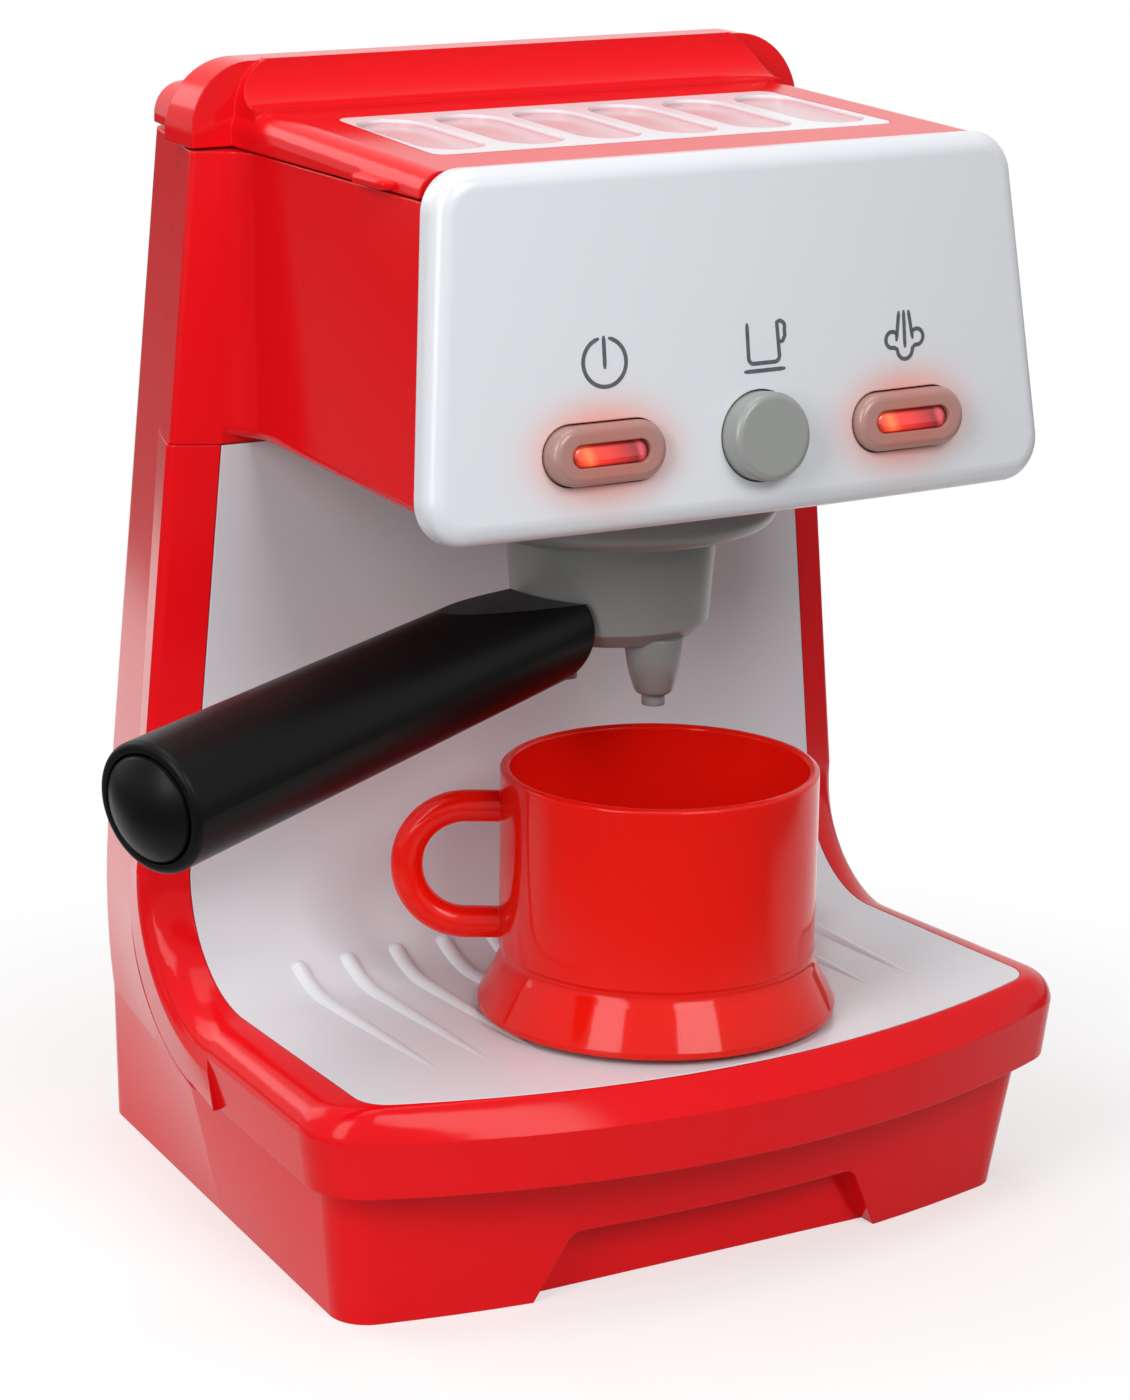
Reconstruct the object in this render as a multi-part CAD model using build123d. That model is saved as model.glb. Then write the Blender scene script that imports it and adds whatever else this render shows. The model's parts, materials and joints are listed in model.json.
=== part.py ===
from build123d import *
import math
import os

os.makedirs("parts", exist_ok=True)

# Toy coffee maker. Millimetres, X to its right, Y to the back, Z up.
# The origin is on the table under the middle of the machine.

# ---------------------------------------------------------------- clearances and walls
FIT = 0.15                # between fixed mouldings that sit in each other
RUN = 0.3                 # beside a piece that moves
SHAFT_RUN = 0.05          # radial, round a pin that turns
WALL = 2.5                # wall of the red casings

# ---------------------------------------------------------------- heights
RIM_LOW = 30.2            # lower edge of the tray's rim
RIM_HIGH = 41.8           # upper edge of the rim's side
PLATE = 48.45             # tray surface
LEDGE = 160.8             # top of the front shell
HEAD_LOW = 162.0          # underside of the head
CASING_TOP = 219.0        # top of the rear shell and of the head

# ---------------------------------------------------------------- column, in plan
PANEL_Y = 20.7            # face of the white back wall
CORNER_Y = 25.0           # front corner of the red column
SEAM_Y = 38.0             # joint between front and rear shells
BEND_TOP = 72.45          # height where the back wall starts to curve into the tray
BEND_R = 24.0             # radius of that curve
SEAM_BEND_R = 26.0        # radius of the seam where it turns under the tray

SEAM_HALF_LOW = 81.4      # half width at the seam at the bend
SEAM_HALF_TOP = 73.7      # and at the ledge
FACET_WIDE = 9.4          # bevelled facet beside the white wall, from the front
CORNER_SOFT = 1.6         # rounding of the column's front corners
REAR_DRAW_LOW = 13.2      # how much narrower the back is than the seam, at the bend
REAR_DRAW_TOP = 7.8       # and at the casing's top
REAR_Y_BASE = 84.0        # depth of the back at the table
REAR_Y_TOP = 66.0         # and at the casing's top
REAR_CORNER_R = 9.0
SEAM_PINCH = 0.0052       # draw of the side below the bend, per mm squared, at the seam
REAR_PINCH = 0.0019       # and at the back

# ---------------------------------------------------------------- base and tray
SKIRT_DRAW_LOW = 2.0      # skirt's front corners inside the seam's width, at the table
SKIRT_OUT_TOP = 1.6       # and outside it under the rim
SKIRT_CORNER_Y = -50.0
SKIRT_FRONT_Y = -60.5
SKIRT_FLARE = 3.5         # how far the skirt's front leans out up to the rim
SKIRT_CORNER_R = 8.0
REAR_DRAW_BASE = 2.3      # back narrower at the table than at the bend
RIM_OUT_HIGH = 7.4        # rim's upper edge outside the seam's width, at its corners
RIM_OUT_LOW = 5.9         # rim's lower edge
RIM_CORNER_Y = -57.0
RIM_FRONT_Y = -79.0
RIM_START_Y = 16.0        # where the rim's side leaves the casing's side
RIM_DRAW_HIGH = 5.3       # how much narrower the rim is there than at its corners
RIM_DRAW_LOW = 7.0
RIM_LOW_INSET = 1.8       # how far the rim's side draws in at its lower edge, front
RIM_CORNER_R = 13.0
BORDER = 10.3             # red border beside the tray plate
PLATE_CORNER_Y = -57.6
PLATE_FRONT_Y = -73.6
PLATE_CORNER_R = 7.0
EDGE_STEPS = 6            # sections round the border's edge
RECESS_HALF = 37.0        # finger recess in the front of the skirt
RECESS_HIGH = 14.5
RECESS_BACK_Y = -53.5
RECESS_R = 3.5

RIB_PITCH = 11.4          # ribs on the tray
RIB_COUNT = 11
RIB_R = 2.0
RIB_STAND = 1.2           # height above the plate
RIB_END_Y = -48.0
RIB_NOSE_TURN = 33.0      # how far a rib climbs round the bend, degrees

# ---------------------------------------------------------------- head
HEAD_HALF_REAR = 62.6     # box of the head, where it leaves the column
HEAD_HALF_FRONT_TOP = 64.7
HEAD_HALF_FRONT_LOW = 70.1
HEAD_SWEEP_R = 8.0
HEAD_EDGE_R = 2.5
FACE_TOP_Z = 224.8        # fascia, rear outline
FACE_LOW_Z = 156.2
FACE_TOP_Y = -52.8
FACE_LOW_Y = -61.3
FACE_HALF_TOP = 64.5
FACE_HALF_LOW = 70.8
FACE_CORNER_R = 8.5
FACE_DEPTH = 10.1         # depth of the fascia at its middle
FACE_BOW_R = 547.0
FACE_WALL = 2.4
FACE_EDGE_R = 4.0
WELL_HALF = 44.0          # compartment under the lid
WELL_FRONT_Y = -34.0
WELL_BACK_Y = 14.0
WELL_FLOOR_Z = 192.0
WELL_CORNER_R = 6.0
DECK = 2.2

# ---------------------------------------------------------------- lid
LID_GAP = 0.5
LID_TOP_REAR = 227.2      # top of the lid at the hump
LID_TOP_FRONT = 224.3     # and behind the fascia
LID_ROLL_R = 4.8
LID_FRONT_GAP = 0.5
HUMP_FRONT_Y = 25.4
HUMP_TOP_Z = 235.8
HUMP_OUT = 3.0            # hump outside the casing's side
HUMP_CORNER_R = 14.0
HUMP_LEAN = 2.2
HUMP_SWEEP_R = 9.0
CAP_TOP_Z = 227.6
CAP_CORNER_R = 6.5
LID_WALL = 2.2
GRILLE_HALF = 51.5
GRILLE_FRONT_Y = -37.5
GRILLE_BACK_Y = 6.0
GRILLE_THICK = 2.4
GRILLE_SLOT_PITCH = 17.5
GRILLE_SLOTS = 6
GRILLE_SLOT_DEEP = 1.1
TAB_FRONT_Y = -42.5       # finger tab on the lid's edge
TAB_BACK_Y = -29.0
TAB_OUT = 2.6
TAB_THICK = 1.8
HINGE_DROP = 0.6          # hinge pin centre above the casing's top
HINGE_OUT = 2.6           # hinge pin centre behind the casing's back
HINGE_R = 2.1
HINGE_PIN_R = 1.0
HINGE_X = 34.0
KNUCKLE = 8.0             # length of a lid knuckle
SHELL_KNUCKLE = 5.0       # length of a casing knuckle
KNUCKLE_GAP = 0.3

# ---------------------------------------------------------------- brew group and portafilter
GROUP_Y = -17.0
FLANGE_R = 33.5
FLANGE_LOW_Z = 146.0
CHAMBER_R = 24.5          # room inside the group where the lugs turn
CHAMBER_TOP = 158.0
LUG_R = 24.0              # bayonet lugs on the portafilter
LUG_LOW_Z = 150.3
LUG_HIGH = 2.8
LUG_HALF = 17.0           # half angle of a lug, degrees
UNLOCK_TURN = 71.4        # from the locked handle to the front, where the gates are
BODY_R = 21.5
BODY_LOW_R = 20.0
BODY_LOW_Z = 123.5
BODY_TOP_Z = 155.0
BODY_WALL = 2.5
SPOUT_X = 13.3
SPOUT_TURN = 10.0         # the pair of spouts, degrees from front to back
SPOUT_R = 6.0
SPOUT_SHOULDER_R = 4.3
SPOUT_SHOULDER_HIGH = 4.2
SPOUT_NOZZLE_R = 2.4
SPOUT_NOZZLE_HIGH = 2.3
SPOUT_TIP_Z = 110.3
HANDLE_ANGLE = 18.6       # degrees forward of the machine's left
HANDLE_DROOP = 6.95       # degrees below level
HANDLE_AXIS_Z = 129.9
HANDLE_R_ROOT = 11.4
HANDLE_R_END = 12.75
HANDLE_END = 131.5        # from the portafilter's axis to the end of the grip
HANDLE_START = 24.0
HANDLE_SEAT = 22.0        # screw seat inside the grip, from its start
SOCKET_R = 4.4            # tenon of the portafilter in the grip
SOCKET_IN = 9.0
END_CAP_R = 10.2
END_CAP_RISE = 3.6        # dome of the grip's end
FLAT_DEEP = 5.0           # oblique flat on top of the grip's root, at the bowl
FLAT_LEAN = 11.0          # degrees to the grip's axis

# ---------------------------------------------------------------- cup
CUP_Y = -36.6
CUP_BASE_Z = 49.9
CUP_RIM_Z = 99.4
CUP_R = 32.0
CUP_FOOT_R = 36.3
CUP_FOOT_HIGH = 11.2
CUP_WALL = 2.0
CUP_GROOVE = 0.7          # shadow groove between foot and body
CUP_HANDLE_TURN = 149.4   # direction of the cup's handle, degrees from +X
CUP_HANDLE_W = 6.5

# ---------------------------------------------------------------- buttons
BUTTON_Z = 171.3
BUTTON_X = 34.2
OVAL_LONG = 25.0
OVAL_WIDE = 11.3
OVAL_STAND = 3.0
LENS_LONG = 16.8
LENS_WIDE = 4.2
ROUND_R = 8.5
ROUND_STAND = 5.0
BUTTON_TRAVEL = 2.0
BUTTON_FLANGE = 1.6
STEM_R = 2.5

# ---------------------------------------------------------------- derived places
FACE_TILT = math.degrees(math.atan2(FACE_TOP_Y - FACE_LOW_Y, FACE_TOP_Z - FACE_LOW_Z))
BEND_Y = PANEL_Y - BEND_R                     # where the tray becomes flat
SEAM_BEND_Y = SEAM_Y - SEAM_BEND_R
REAR_SLOPE = (REAR_Y_BASE - REAR_Y_TOP) / CASING_TOP
LID_LOW = CASING_TOP + LID_GAP
FACET_DROP = CORNER_Y - PANEL_Y
RIM_HALF_HIGH = SEAM_HALF_LOW + RIM_OUT_HIGH
RIM_HALF_LOW = SEAM_HALF_LOW + RIM_OUT_LOW
PLATE_HALF = RIM_HALF_HIGH - BORDER
SKIRT_HALF_LOW = SEAM_HALF_LOW - SKIRT_DRAW_LOW
SKIRT_HALF_TOP = SEAM_HALF_LOW + SKIRT_OUT_TOP


def lerp(low, high, share):
    return low + (high - low) * share


def at_height(z, low, top, z_top=LEDGE):
    """A width that changes evenly from the bend to z_top, and beyond both."""
    return lerp(low, top, (z - BEND_TOP) / (z_top - BEND_TOP))


def rear_y(z):
    return REAR_Y_BASE - REAR_SLOPE * z


def seam_half(z):
    """Half width of the side at the seam: even above the bend, drawing in below it."""
    width = at_height(z, SEAM_HALF_LOW, SEAM_HALF_TOP)
    below = max(0.0, BEND_TOP - z)
    return width - SEAM_PINCH * below * below


def rear_half(z):
    top = at_height(CASING_TOP, SEAM_HALF_LOW, SEAM_HALF_TOP) - REAR_DRAW_TOP
    width = at_height(z, SEAM_HALF_LOW - REAR_DRAW_LOW, top, CASING_TOP)
    below = max(0.0, BEND_TOP - z)
    return width - REAR_PINCH * below * below


def side_half(y, z):
    """Half width of the casing's flat side at a depth and a height."""
    slope = (seam_half(z) - rear_half(z)) / (rear_y(z) - SEAM_Y)
    return seam_half(z) + slope * (SEAM_Y - y)


CORNER_HALF_LOW = side_half(CORNER_Y, BEND_TOP)
CORNER_HALF_TOP = side_half(CORNER_Y, LEDGE)
PANEL_HALF_LOW = CORNER_HALF_LOW - FACET_WIDE
PANEL_HALF_TOP = CORNER_HALF_TOP - FACET_WIDE
REAR_HALF_BASE = rear_half(BEND_TOP) - REAR_DRAW_BASE
REAR_HALF_TOP = rear_half(CASING_TOP)
HUMP_HALF = seam_half(CASING_TOP) + HUMP_OUT


def face_y(z):
    """Back plane of the fascia."""
    return lerp(FACE_LOW_Y, FACE_TOP_Y, (z - FACE_LOW_Z) / (FACE_TOP_Z - FACE_LOW_Z))


def keep(shape, node):
    export_step(shape, f"parts/{node}.step")
    return shape


def mirrored(half):
    """Closed list of points from the right half of an outline."""
    return list(half) + [(-x, y) for x, y in reversed(half)]


def plan_face(half, z):
    points = [(x, y, z) for x, y in mirrored(half)]
    return make_face(Polyline(*points, close=True))


def bowed_face(half, front_y, z, corner_r):
    """Outline with a bowed front: half runs from the back to the front corner."""
    x, y = half[-1]
    left = [(-px, py, z) for px, py in half]
    right = [(px, py, z) for px, py in half]
    edges = Curve() + [Line(a, b) for a, b in zip(right, right[1:])]
    edges += [Line(a, b) for a, b in zip(left, left[1:])]
    edges += Line(left[0], right[0])
    edges += ThreePointArc(left[-1], (0, front_y, z), right[-1])
    face = make_face(edges)
    corners = [v for v in face.vertices() if abs(v.Y - y) < 1e-4 and abs(abs(v.X) - x) < 1e-4]
    return fillet(corners, corner_r)


def box_between(low, high):
    size = [b - a for a, b in zip(low, high)]
    centre = [(a + b) / 2 for a, b in zip(low, high)]
    return Pos(*centre) * Box(*size)


def rod(radius, start, end):
    """Round bar from start to end."""
    start, end = Vector(*start), Vector(*end)
    along = end - start
    plane = Plane(origin=start, z_dir=along)
    return plane * extrude(Circle(radius), along.length)


def side_profile(points, half=120.0):
    """Outline in the YZ plane, carried across the whole machine."""
    face = make_face(Polyline(*[(-half, y, z) for y, z in points], close=True))
    return extrude(face, 2 * half, dir=(1, 0, 0))


# ---------------------------------------------------------------- rear shell
def column_section(z, inset, front_y):
    return plan_face([(rear_half(z) - inset, rear_y(z) - inset),
                      (side_half(front_y, z) - inset, front_y)], z)


def column_form(inset, front_y, z_low, z_top):
    """The part of the casing behind the seam, all four corners square."""
    bend = [z for z in (RIM_LOW, RIM_LOW + 14, RIM_LOW + 28) if z >= z_low] + [BEND_TOP]
    low = loft([column_section(z, inset, front_y) for z in bend])
    high = loft([column_section(z, inset, front_y) for z in (BEND_TOP, z_top)], ruled=True)
    return low + high


def skirt_form(inset, z_low, z_top):
    def outline(z):
        share = z / RIM_LOW
        corner = (lerp(SKIRT_HALF_LOW, SKIRT_HALF_TOP, share) - inset,
                  SKIRT_CORNER_Y - SKIRT_FLARE * share + inset)
        low_side = lerp(SKIRT_HALF_LOW, REAR_HALF_BASE,
                        (SEAM_BEND_Y - SKIRT_CORNER_Y) / (REAR_Y_BASE - SKIRT_CORNER_Y))
        side = (lerp(low_side, side_half(SEAM_BEND_Y, RIM_LOW), share) - inset, SEAM_BEND_Y)
        rear = (lerp(REAR_HALF_BASE, rear_half(RIM_LOW), share) - inset, rear_y(z) - inset)
        front_y = SKIRT_FRONT_Y - SKIRT_FLARE * share + inset
        return bowed_face([rear, side, corner], front_y, z, SKIRT_CORNER_R - inset)
    return loft([outline(z_low), outline(z_top)])


def front_region(shift):
    """Everything in front of the seam; shift moves the seam forwards and up."""
    y, z = SEAM_Y - shift, RIM_LOW + shift
    radius = SEAM_BEND_R
    mid = (y - radius + radius * math.cos(math.radians(45)),
           z + radius - radius * math.sin(math.radians(45)))
    x = -120.0
    edges = Curve() + [
        Line((x, -150, z), (x, y - radius, z)),
        ThreePointArc((x, y - radius, z), (x, *mid), (x, y, z + radius)),
        Line((x, y, z + radius), (x, y, 300)),
        Line((x, y, 300), (x, -150, 300)),
        Line((x, -150, 300), (x, -150, z)),
    ]
    return extrude(make_face(edges), 240, dir=(1, 0, 0))


def recess_form():
    points = [(-RECESS_HALF - 4, 0), (RECESS_HALF + 4, 0),
              (RECESS_HALF - 3.5, RECESS_HIGH), (-RECESS_HALF + 3.5, RECESS_HIGH)]
    face = make_face(Polyline(*[(x, RECESS_BACK_Y, z) for x, z in points], close=True))
    face = fillet([v for v in face.vertices() if v.Z > 1], RECESS_R)
    return extrude(face, 40, dir=(0, -1, 0))


def rear_shell():
    outer = column_form(0, SEAM_BEND_Y, RIM_LOW, CASING_TOP)
    outer -= front_region(0)
    outer += skirt_form(0, 0, RIM_LOW)
    corners = [e for e in outer.edges()
               if e.center().Y > 60 and e.bounding_box().size.Z > 20 and abs(e.center().X) > 50]
    outer = fillet(corners, REAR_CORNER_R)
    inner = column_form(WALL, SEAM_BEND_Y - 30, RIM_LOW, CASING_TOP - WALL)
    inner += skirt_form(WALL, WALL, RIM_LOW)
    shell = outer - inner
    recess = recess_form()
    pocket_wall = offset(recess, WALL, kind=Kind.INTERSECTION) & skirt_form(FIT, 0, RIM_LOW)
    tubes, wells = rear_bosses()
    wells.append(Pos(0, ear_screw_y(), 0) * extrude(Circle(BOSS_HOLE_R), WALL + 1))
    shell += pocket_wall
    for tube in tubes:
        shell += tube
    shell += door_screw_block()
    shell += shell_knuckles()
    for cut in wells + speaker_holes():
        shell -= cut
    shell -= recess
    shell -= extrude(door_outline(0, -1), 1 + DOOR_RAISE + DOOR_THICK + FIT)
    shell -= extrude(Pos(0, BOX_Y, -1) * Rectangle(2 * box_half()[0], 2 * box_half()[1]), WALL + 2)
    return shell


def shell_knuckles():
    """Hinge knuckles on the casing, one on each side of each lid knuckle."""
    solids = Part()
    for side in (-1, 1):
        for step in (-1, 1):
            near = side * HINGE_X + step * (KNUCKLE / 2 + KNUCKLE_GAP)
            far = near + step * SHELL_KNUCKLE
            solids += knuckle(min(near, far), max(near, far), CASING_TOP - 3.5, CASING_TOP,
                              REAR_Y_TOP - 1.5)
    return solids


# ---------------------------------------------------------------- front shell and splash panel
def seam_depth(angle):
    """Depth of the seam behind the white surface, at an angle round the bend."""
    along_y, along_z = math.cos(math.radians(angle)), -math.sin(math.radians(angle))
    centre_z = RIM_LOW + SEAM_BEND_R
    to_y, to_z = SEAM_BEND_Y - BEND_Y, centre_z - BEND_TOP
    middle = to_y * along_y + to_z * along_z
    aside = to_y * to_y + to_z * to_z - middle * middle
    reach = middle + math.sqrt(SEAM_BEND_R ** 2 - aside)
    if BEND_TOP + reach * along_z > centre_z:
        reach = (SEAM_Y - BEND_Y) / along_y
    elif BEND_Y + reach * along_y < SEAM_BEND_Y:
        reach = (RIM_LOW - BEND_TOP) / along_z
    return reach - BEND_R


def bend_point(x, depth, angle):
    """Place behind the white surface: angle 0 is the wall, 90 the tray."""
    reach = BEND_R + depth
    return (x, BEND_Y + reach * math.cos(math.radians(angle)),
            BEND_TOP - reach * math.sin(math.radians(angle)))


def seam_place(angle, beyond):
    """Half width and depth of the side on the seam, a little beyond it."""
    depth = seam_depth(angle) + beyond
    _, y, z = bend_point(0, depth, angle)
    return side_half(y, z), depth


def facet_end(out):
    """Rounded corner between the facet and the side, as half width and depth."""
    start = 1 - CORNER_SOFT / FACET_WIDE
    return [(out - CORNER_SOFT, FACET_DROP * start),
            (out - 0.28 * CORNER_SOFT, FACET_DROP + 0.1 * CORNER_SOFT),
            (out, FACET_DROP + CORNER_SOFT)]


def band_half(angle):
    """Half section of the red border: the wall's flat facet turns into the tray's round edge."""
    share = angle / 90
    out = lerp(CORNER_HALF_LOW, rim_half(RIM_HALF_HIGH, RIM_DRAW_HIGH, BEND_Y), share)
    drop = PLATE - RIM_HIGH
    flat = facet_end(out)
    level = []
    for step in range(EDGE_STEPS + 1):
        turn = math.radians(90 * step / EDGE_STEPS)
        wide = math.sin(turn)
        level.append((lerp(lerp(PANEL_HALF_LOW, flat[0][0], wide),
                           lerp(PANEL_HALF_LOW, out, wide), share),
                      lerp(flat[0][1] * wide, drop * (1 - math.cos(turn)), share)))
    side = [(lerp(x, out, share), lerp(depth, drop + i * CORNER_SOFT, share))
            for i, (x, depth) in enumerate(flat)]
    return level, side


def band_station(angle):
    """Section across the L-shaped front at an angle round the bend."""
    level, side = band_half(angle)
    seam = seam_place(angle, 1.0)

    def edges(sign):
        top = [bend_point(sign * x, depth, angle) for x, depth in level]
        corner = [bend_point(sign * x, depth, angle) for x, depth in side]
        last = bend_point(sign * seam[0], seam[1], angle)
        return [Spline(*top), Spline(*corner), Line(corner[-1], last)]
    right, left = edges(1), edges(-1)
    across = [Line(left[0] @ 0, right[0] @ 0), Line(left[2] @ 1, right[2] @ 1)]
    return make_face(Curve() + right + left + across)


def band_hollow(angle):
    """Room behind the border, a wall's thickness inside its surfaces."""
    _, side = band_half(angle)
    corner, seam = side[-1], seam_place(angle, 1.0)
    lean = (seam[0] - corner[0]) / (seam[1] - corner[1])
    far = seam[1] + 12
    half = [(PANEL_HALF_LOW + 1.5, 2 * WALL), (corner[0] - WALL - 1, 2 * WALL + 3.5),
            (seam[0] + lean * (far - seam[1]) - WALL - 0.3, far)]
    points = [bend_point(x, depth, angle) for x, depth in half]
    points += [bend_point(-x, depth, angle) for x, depth in reversed(half)]
    return make_face(Polyline(*points, close=True))


def column_band(z):
    share = (z - BEND_TOP) / (LEDGE - BEND_TOP)
    panel = lerp(PANEL_HALF_LOW, PANEL_HALF_TOP, share)
    out = lerp(CORNER_HALF_LOW, CORNER_HALF_TOP, share)
    seam = lerp(SEAM_HALF_LOW, SEAM_HALF_TOP, share)

    def edges(sign):
        corner = [(sign * x, PANEL_Y + depth, z) for x, depth in facet_end(out)]
        return [Line((sign * panel, PANEL_Y, z), corner[0]), Spline(*corner),
                Line(corner[-1], (sign * seam, SEAM_Y, z))]
    right, left = edges(1), edges(-1)
    across = [Line(left[0] @ 0, right[0] @ 0), Line(left[2] @ 1, right[2] @ 1)]
    return make_face(Curve() + right + left + across)


def rim_half(corner_half, draw, y):
    """Half width of the rim at a depth: it draws in evenly towards the casing."""
    return corner_half - draw * (y - RIM_CORNER_Y) / (RIM_START_Y - RIM_CORNER_Y)


def rim_solid():
    """Tray's rim: upright side, then the border that rounds over to the plate."""
    low = bowed_face([(rim_half(RIM_HALF_LOW, RIM_DRAW_LOW, RIM_START_Y), RIM_START_Y),
                      (RIM_HALF_LOW, RIM_CORNER_Y)], RIM_FRONT_Y + RIM_LOW_INSET,
                     RIM_LOW, RIM_CORNER_R)
    high = bowed_face([(rim_half(RIM_HALF_HIGH, RIM_DRAW_HIGH, RIM_START_Y), RIM_START_Y),
                       (RIM_HALF_HIGH, RIM_CORNER_Y)], RIM_FRONT_Y,
                      RIM_HIGH, RIM_CORNER_R)
    joint = rim_half(RIM_HALF_HIGH, RIM_DRAW_HIGH, BEND_Y)
    border = []
    for step in range(EDGE_STEPS + 1):
        turn = math.radians(90 * step / EDGE_STEPS)
        wide, rise = math.cos(turn), math.sin(turn)
        border.append(bowed_face(
            [(lerp(PANEL_HALF_LOW, joint, wide), BEND_Y),
             (lerp(PLATE_HALF, RIM_HALF_HIGH, wide), lerp(PLATE_CORNER_Y, RIM_CORNER_Y, wide))],
            lerp(RIM_FRONT_Y, PLATE_FRONT_Y, rise), lerp(RIM_HIGH, PLATE, rise),
            lerp(PLATE_CORNER_R, RIM_CORNER_R, wide)))
    return loft([low, high], ruled=True) + loft(border)


def plate_outline(grow, z):
    joint = (PANEL_HALF_LOW + grow, BEND_Y)
    corner = (PLATE_HALF + grow, PLATE_CORNER_Y - grow)
    return bowed_face([joint, corner], PLATE_FRONT_Y - grow, z, PLATE_CORNER_R + grow)


def panel_sheet(grow, near, deep, top):
    """L-shaped sheet between two depths behind the white surface."""
    def wall_section(z):
        half = at_height(z, PANEL_HALF_LOW, PANEL_HALF_TOP) + grow
        return plan_face([(half, PANEL_Y + near), (half, PANEL_Y + deep)], z)
    wall = loft([wall_section(z) for z in (BEND_TOP, top)], ruled=True)
    half = PANEL_HALF_LOW + grow
    ring = Pos(0, BEND_Y, BEND_TOP) * Rot(0, 90, 0) * (
        Cylinder(BEND_R + deep, 2 * half) - Cylinder(BEND_R + near, 2 * half))
    quarter = box_between((-100, BEND_Y, 0), (100, 100, BEND_TOP))
    tray = extrude(plate_outline(grow, PLATE - deep), deep - near)
    return wall + (ring & quarter) + tray


BEND_ANGLES = (0, 22.5, 45, 67.5, 90)


def front_shell():
    column = loft([column_band(BEND_TOP), column_band(LEDGE)], ruled=True)
    bend = loft([band_station(angle) for angle in BEND_ANGLES])
    outer = column.fuse(bend, rim_solid(), tol=0.002) & front_region(FIT)
    hollow_depth = 2 * WALL
    column_hollow = [plan_face(
        [(at_height(z, PANEL_HALF_LOW, PANEL_HALF_TOP) + 1.5, PANEL_Y + hollow_depth),
         (at_height(z, CORNER_HALF_LOW, CORNER_HALF_TOP) - WALL, PANEL_Y + hollow_depth + 2),
         (at_height(z, SEAM_HALF_LOW, SEAM_HALF_TOP) - WALL, SEAM_Y + 1)], z)
        for z in (BEND_TOP, LEDGE - WALL)]
    hollow = loft(column_hollow, ruled=True)
    hollow += loft([band_hollow(angle) for angle in BEND_ANGLES])
    joint = rim_half(RIM_HALF_LOW, RIM_DRAW_LOW, BEND_Y)
    rim_low = bowed_face([(joint - WALL, BEND_Y + 0.1),
                          (RIM_HALF_LOW - WALL, RIM_CORNER_Y + WALL)],
                         RIM_FRONT_Y + RIM_LOW_INSET + WALL, RIM_LOW + WALL,
                         RIM_CORNER_R - WALL)
    rim_hollow = extrude(rim_low, PLATE - hollow_depth - RIM_LOW - WALL - 1.0)
    skirt_way = skirt_form(WALL + 1.0, RIM_LOW - 10, RIM_LOW)
    skirt_way = extrude(skirt_way.faces().sort_by(Axis.Z)[-1], WALL + 0.2)
    hollow += rim_hollow + skirt_way
    shell = outer - hollow
    posts, holes = front_bosses(CASE_SCREW_Z[0])
    base, base_holes = base_posts()
    for post in posts + base:
        shell += post
    for hole in holes + base_holes:
        shell -= hole
    shell -= panel_sheet(FIT, -5, WALL + FIT, LEDGE + 5)
    shell -= panel_sheet(-4.0, WALL, 2 * WALL + 4, LEDGE - 8)
    return shell


def tray_rib(x):
    """Rounded rib: starts with a round nose on the bend and sinks slowly into the plate."""
    path_r = BEND_R + RIB_R - RIB_STAND
    sink = math.degrees(math.atan2(RIB_STAND, BEND_Y - RIB_END_Y))
    climb = RIB_NOSE_TURN - sink
    start = Vector(x, 0, -path_r)
    bend = revolve(Plane(origin=start, x_dir=(1, 0, 0), z_dir=(0, 1, 0)) * Circle(RIB_R),
                   Axis.X, climb)
    nose = Pos(*start.rotate(Axis.X, climb)) * Sphere(RIB_R)
    run = Plane(origin=start, z_dir=(0, -1, 0)) * extrude(Circle(RIB_R), BEND_Y - RIB_END_Y + 2)
    return Pos(0, BEND_Y, BEND_TOP) * Rot(sink, 0, 0) * (bend + nose + run)


def splash_panel():
    sheet = panel_sheet(0, 0, WALL, LEDGE - FIT)
    first = -(RIB_COUNT - 1) / 2
    ribs = Part() + [tray_rib((first + i) * RIB_PITCH) for i in range(RIB_COUNT)]
    below = panel_sheet(5, WALL - 0.6, WALL + 8, LEDGE)
    return sheet + (ribs - below)


# ---------------------------------------------------------------- head
def head_section(z, inset, rear=SEAM_Y):
    share = (z - LEDGE) / (CASING_TOP - LEDGE)
    corner_half = at_height(z, CORNER_HALF_LOW, CORNER_HALF_TOP)
    facet = FACET_DROP / FACET_WIDE
    front_half = lerp(HEAD_HALF_FRONT_LOW, HEAD_HALF_FRONT_TOP, share)
    inner_y = CORNER_Y - (corner_half - HEAD_HALF_REAR) * facet
    half = [(at_height(z, SEAM_HALF_LOW, SEAM_HALF_TOP) - inset, rear),
            (corner_half - inset, CORNER_Y + inset * 0.4),
            (HEAD_HALF_REAR - inset, inner_y + inset * 0.4),
            (front_half - inset, face_y(z))]
    face = plan_face(half, z)
    inner = [v for v in face.vertices() if abs(abs(v.X) - HEAD_HALF_REAR + inset) < 1e-3]
    face = fillet(inner, HEAD_SWEEP_R)
    corners = [v for v in face.vertices() if abs(abs(v.X) - corner_half + inset) < 1e-3]
    return fillet(corners, CORNER_SOFT)


def head_form(inset, z_low, z_top):
    return loft([head_section(z_low, inset), head_section(z_top, inset)])


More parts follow.
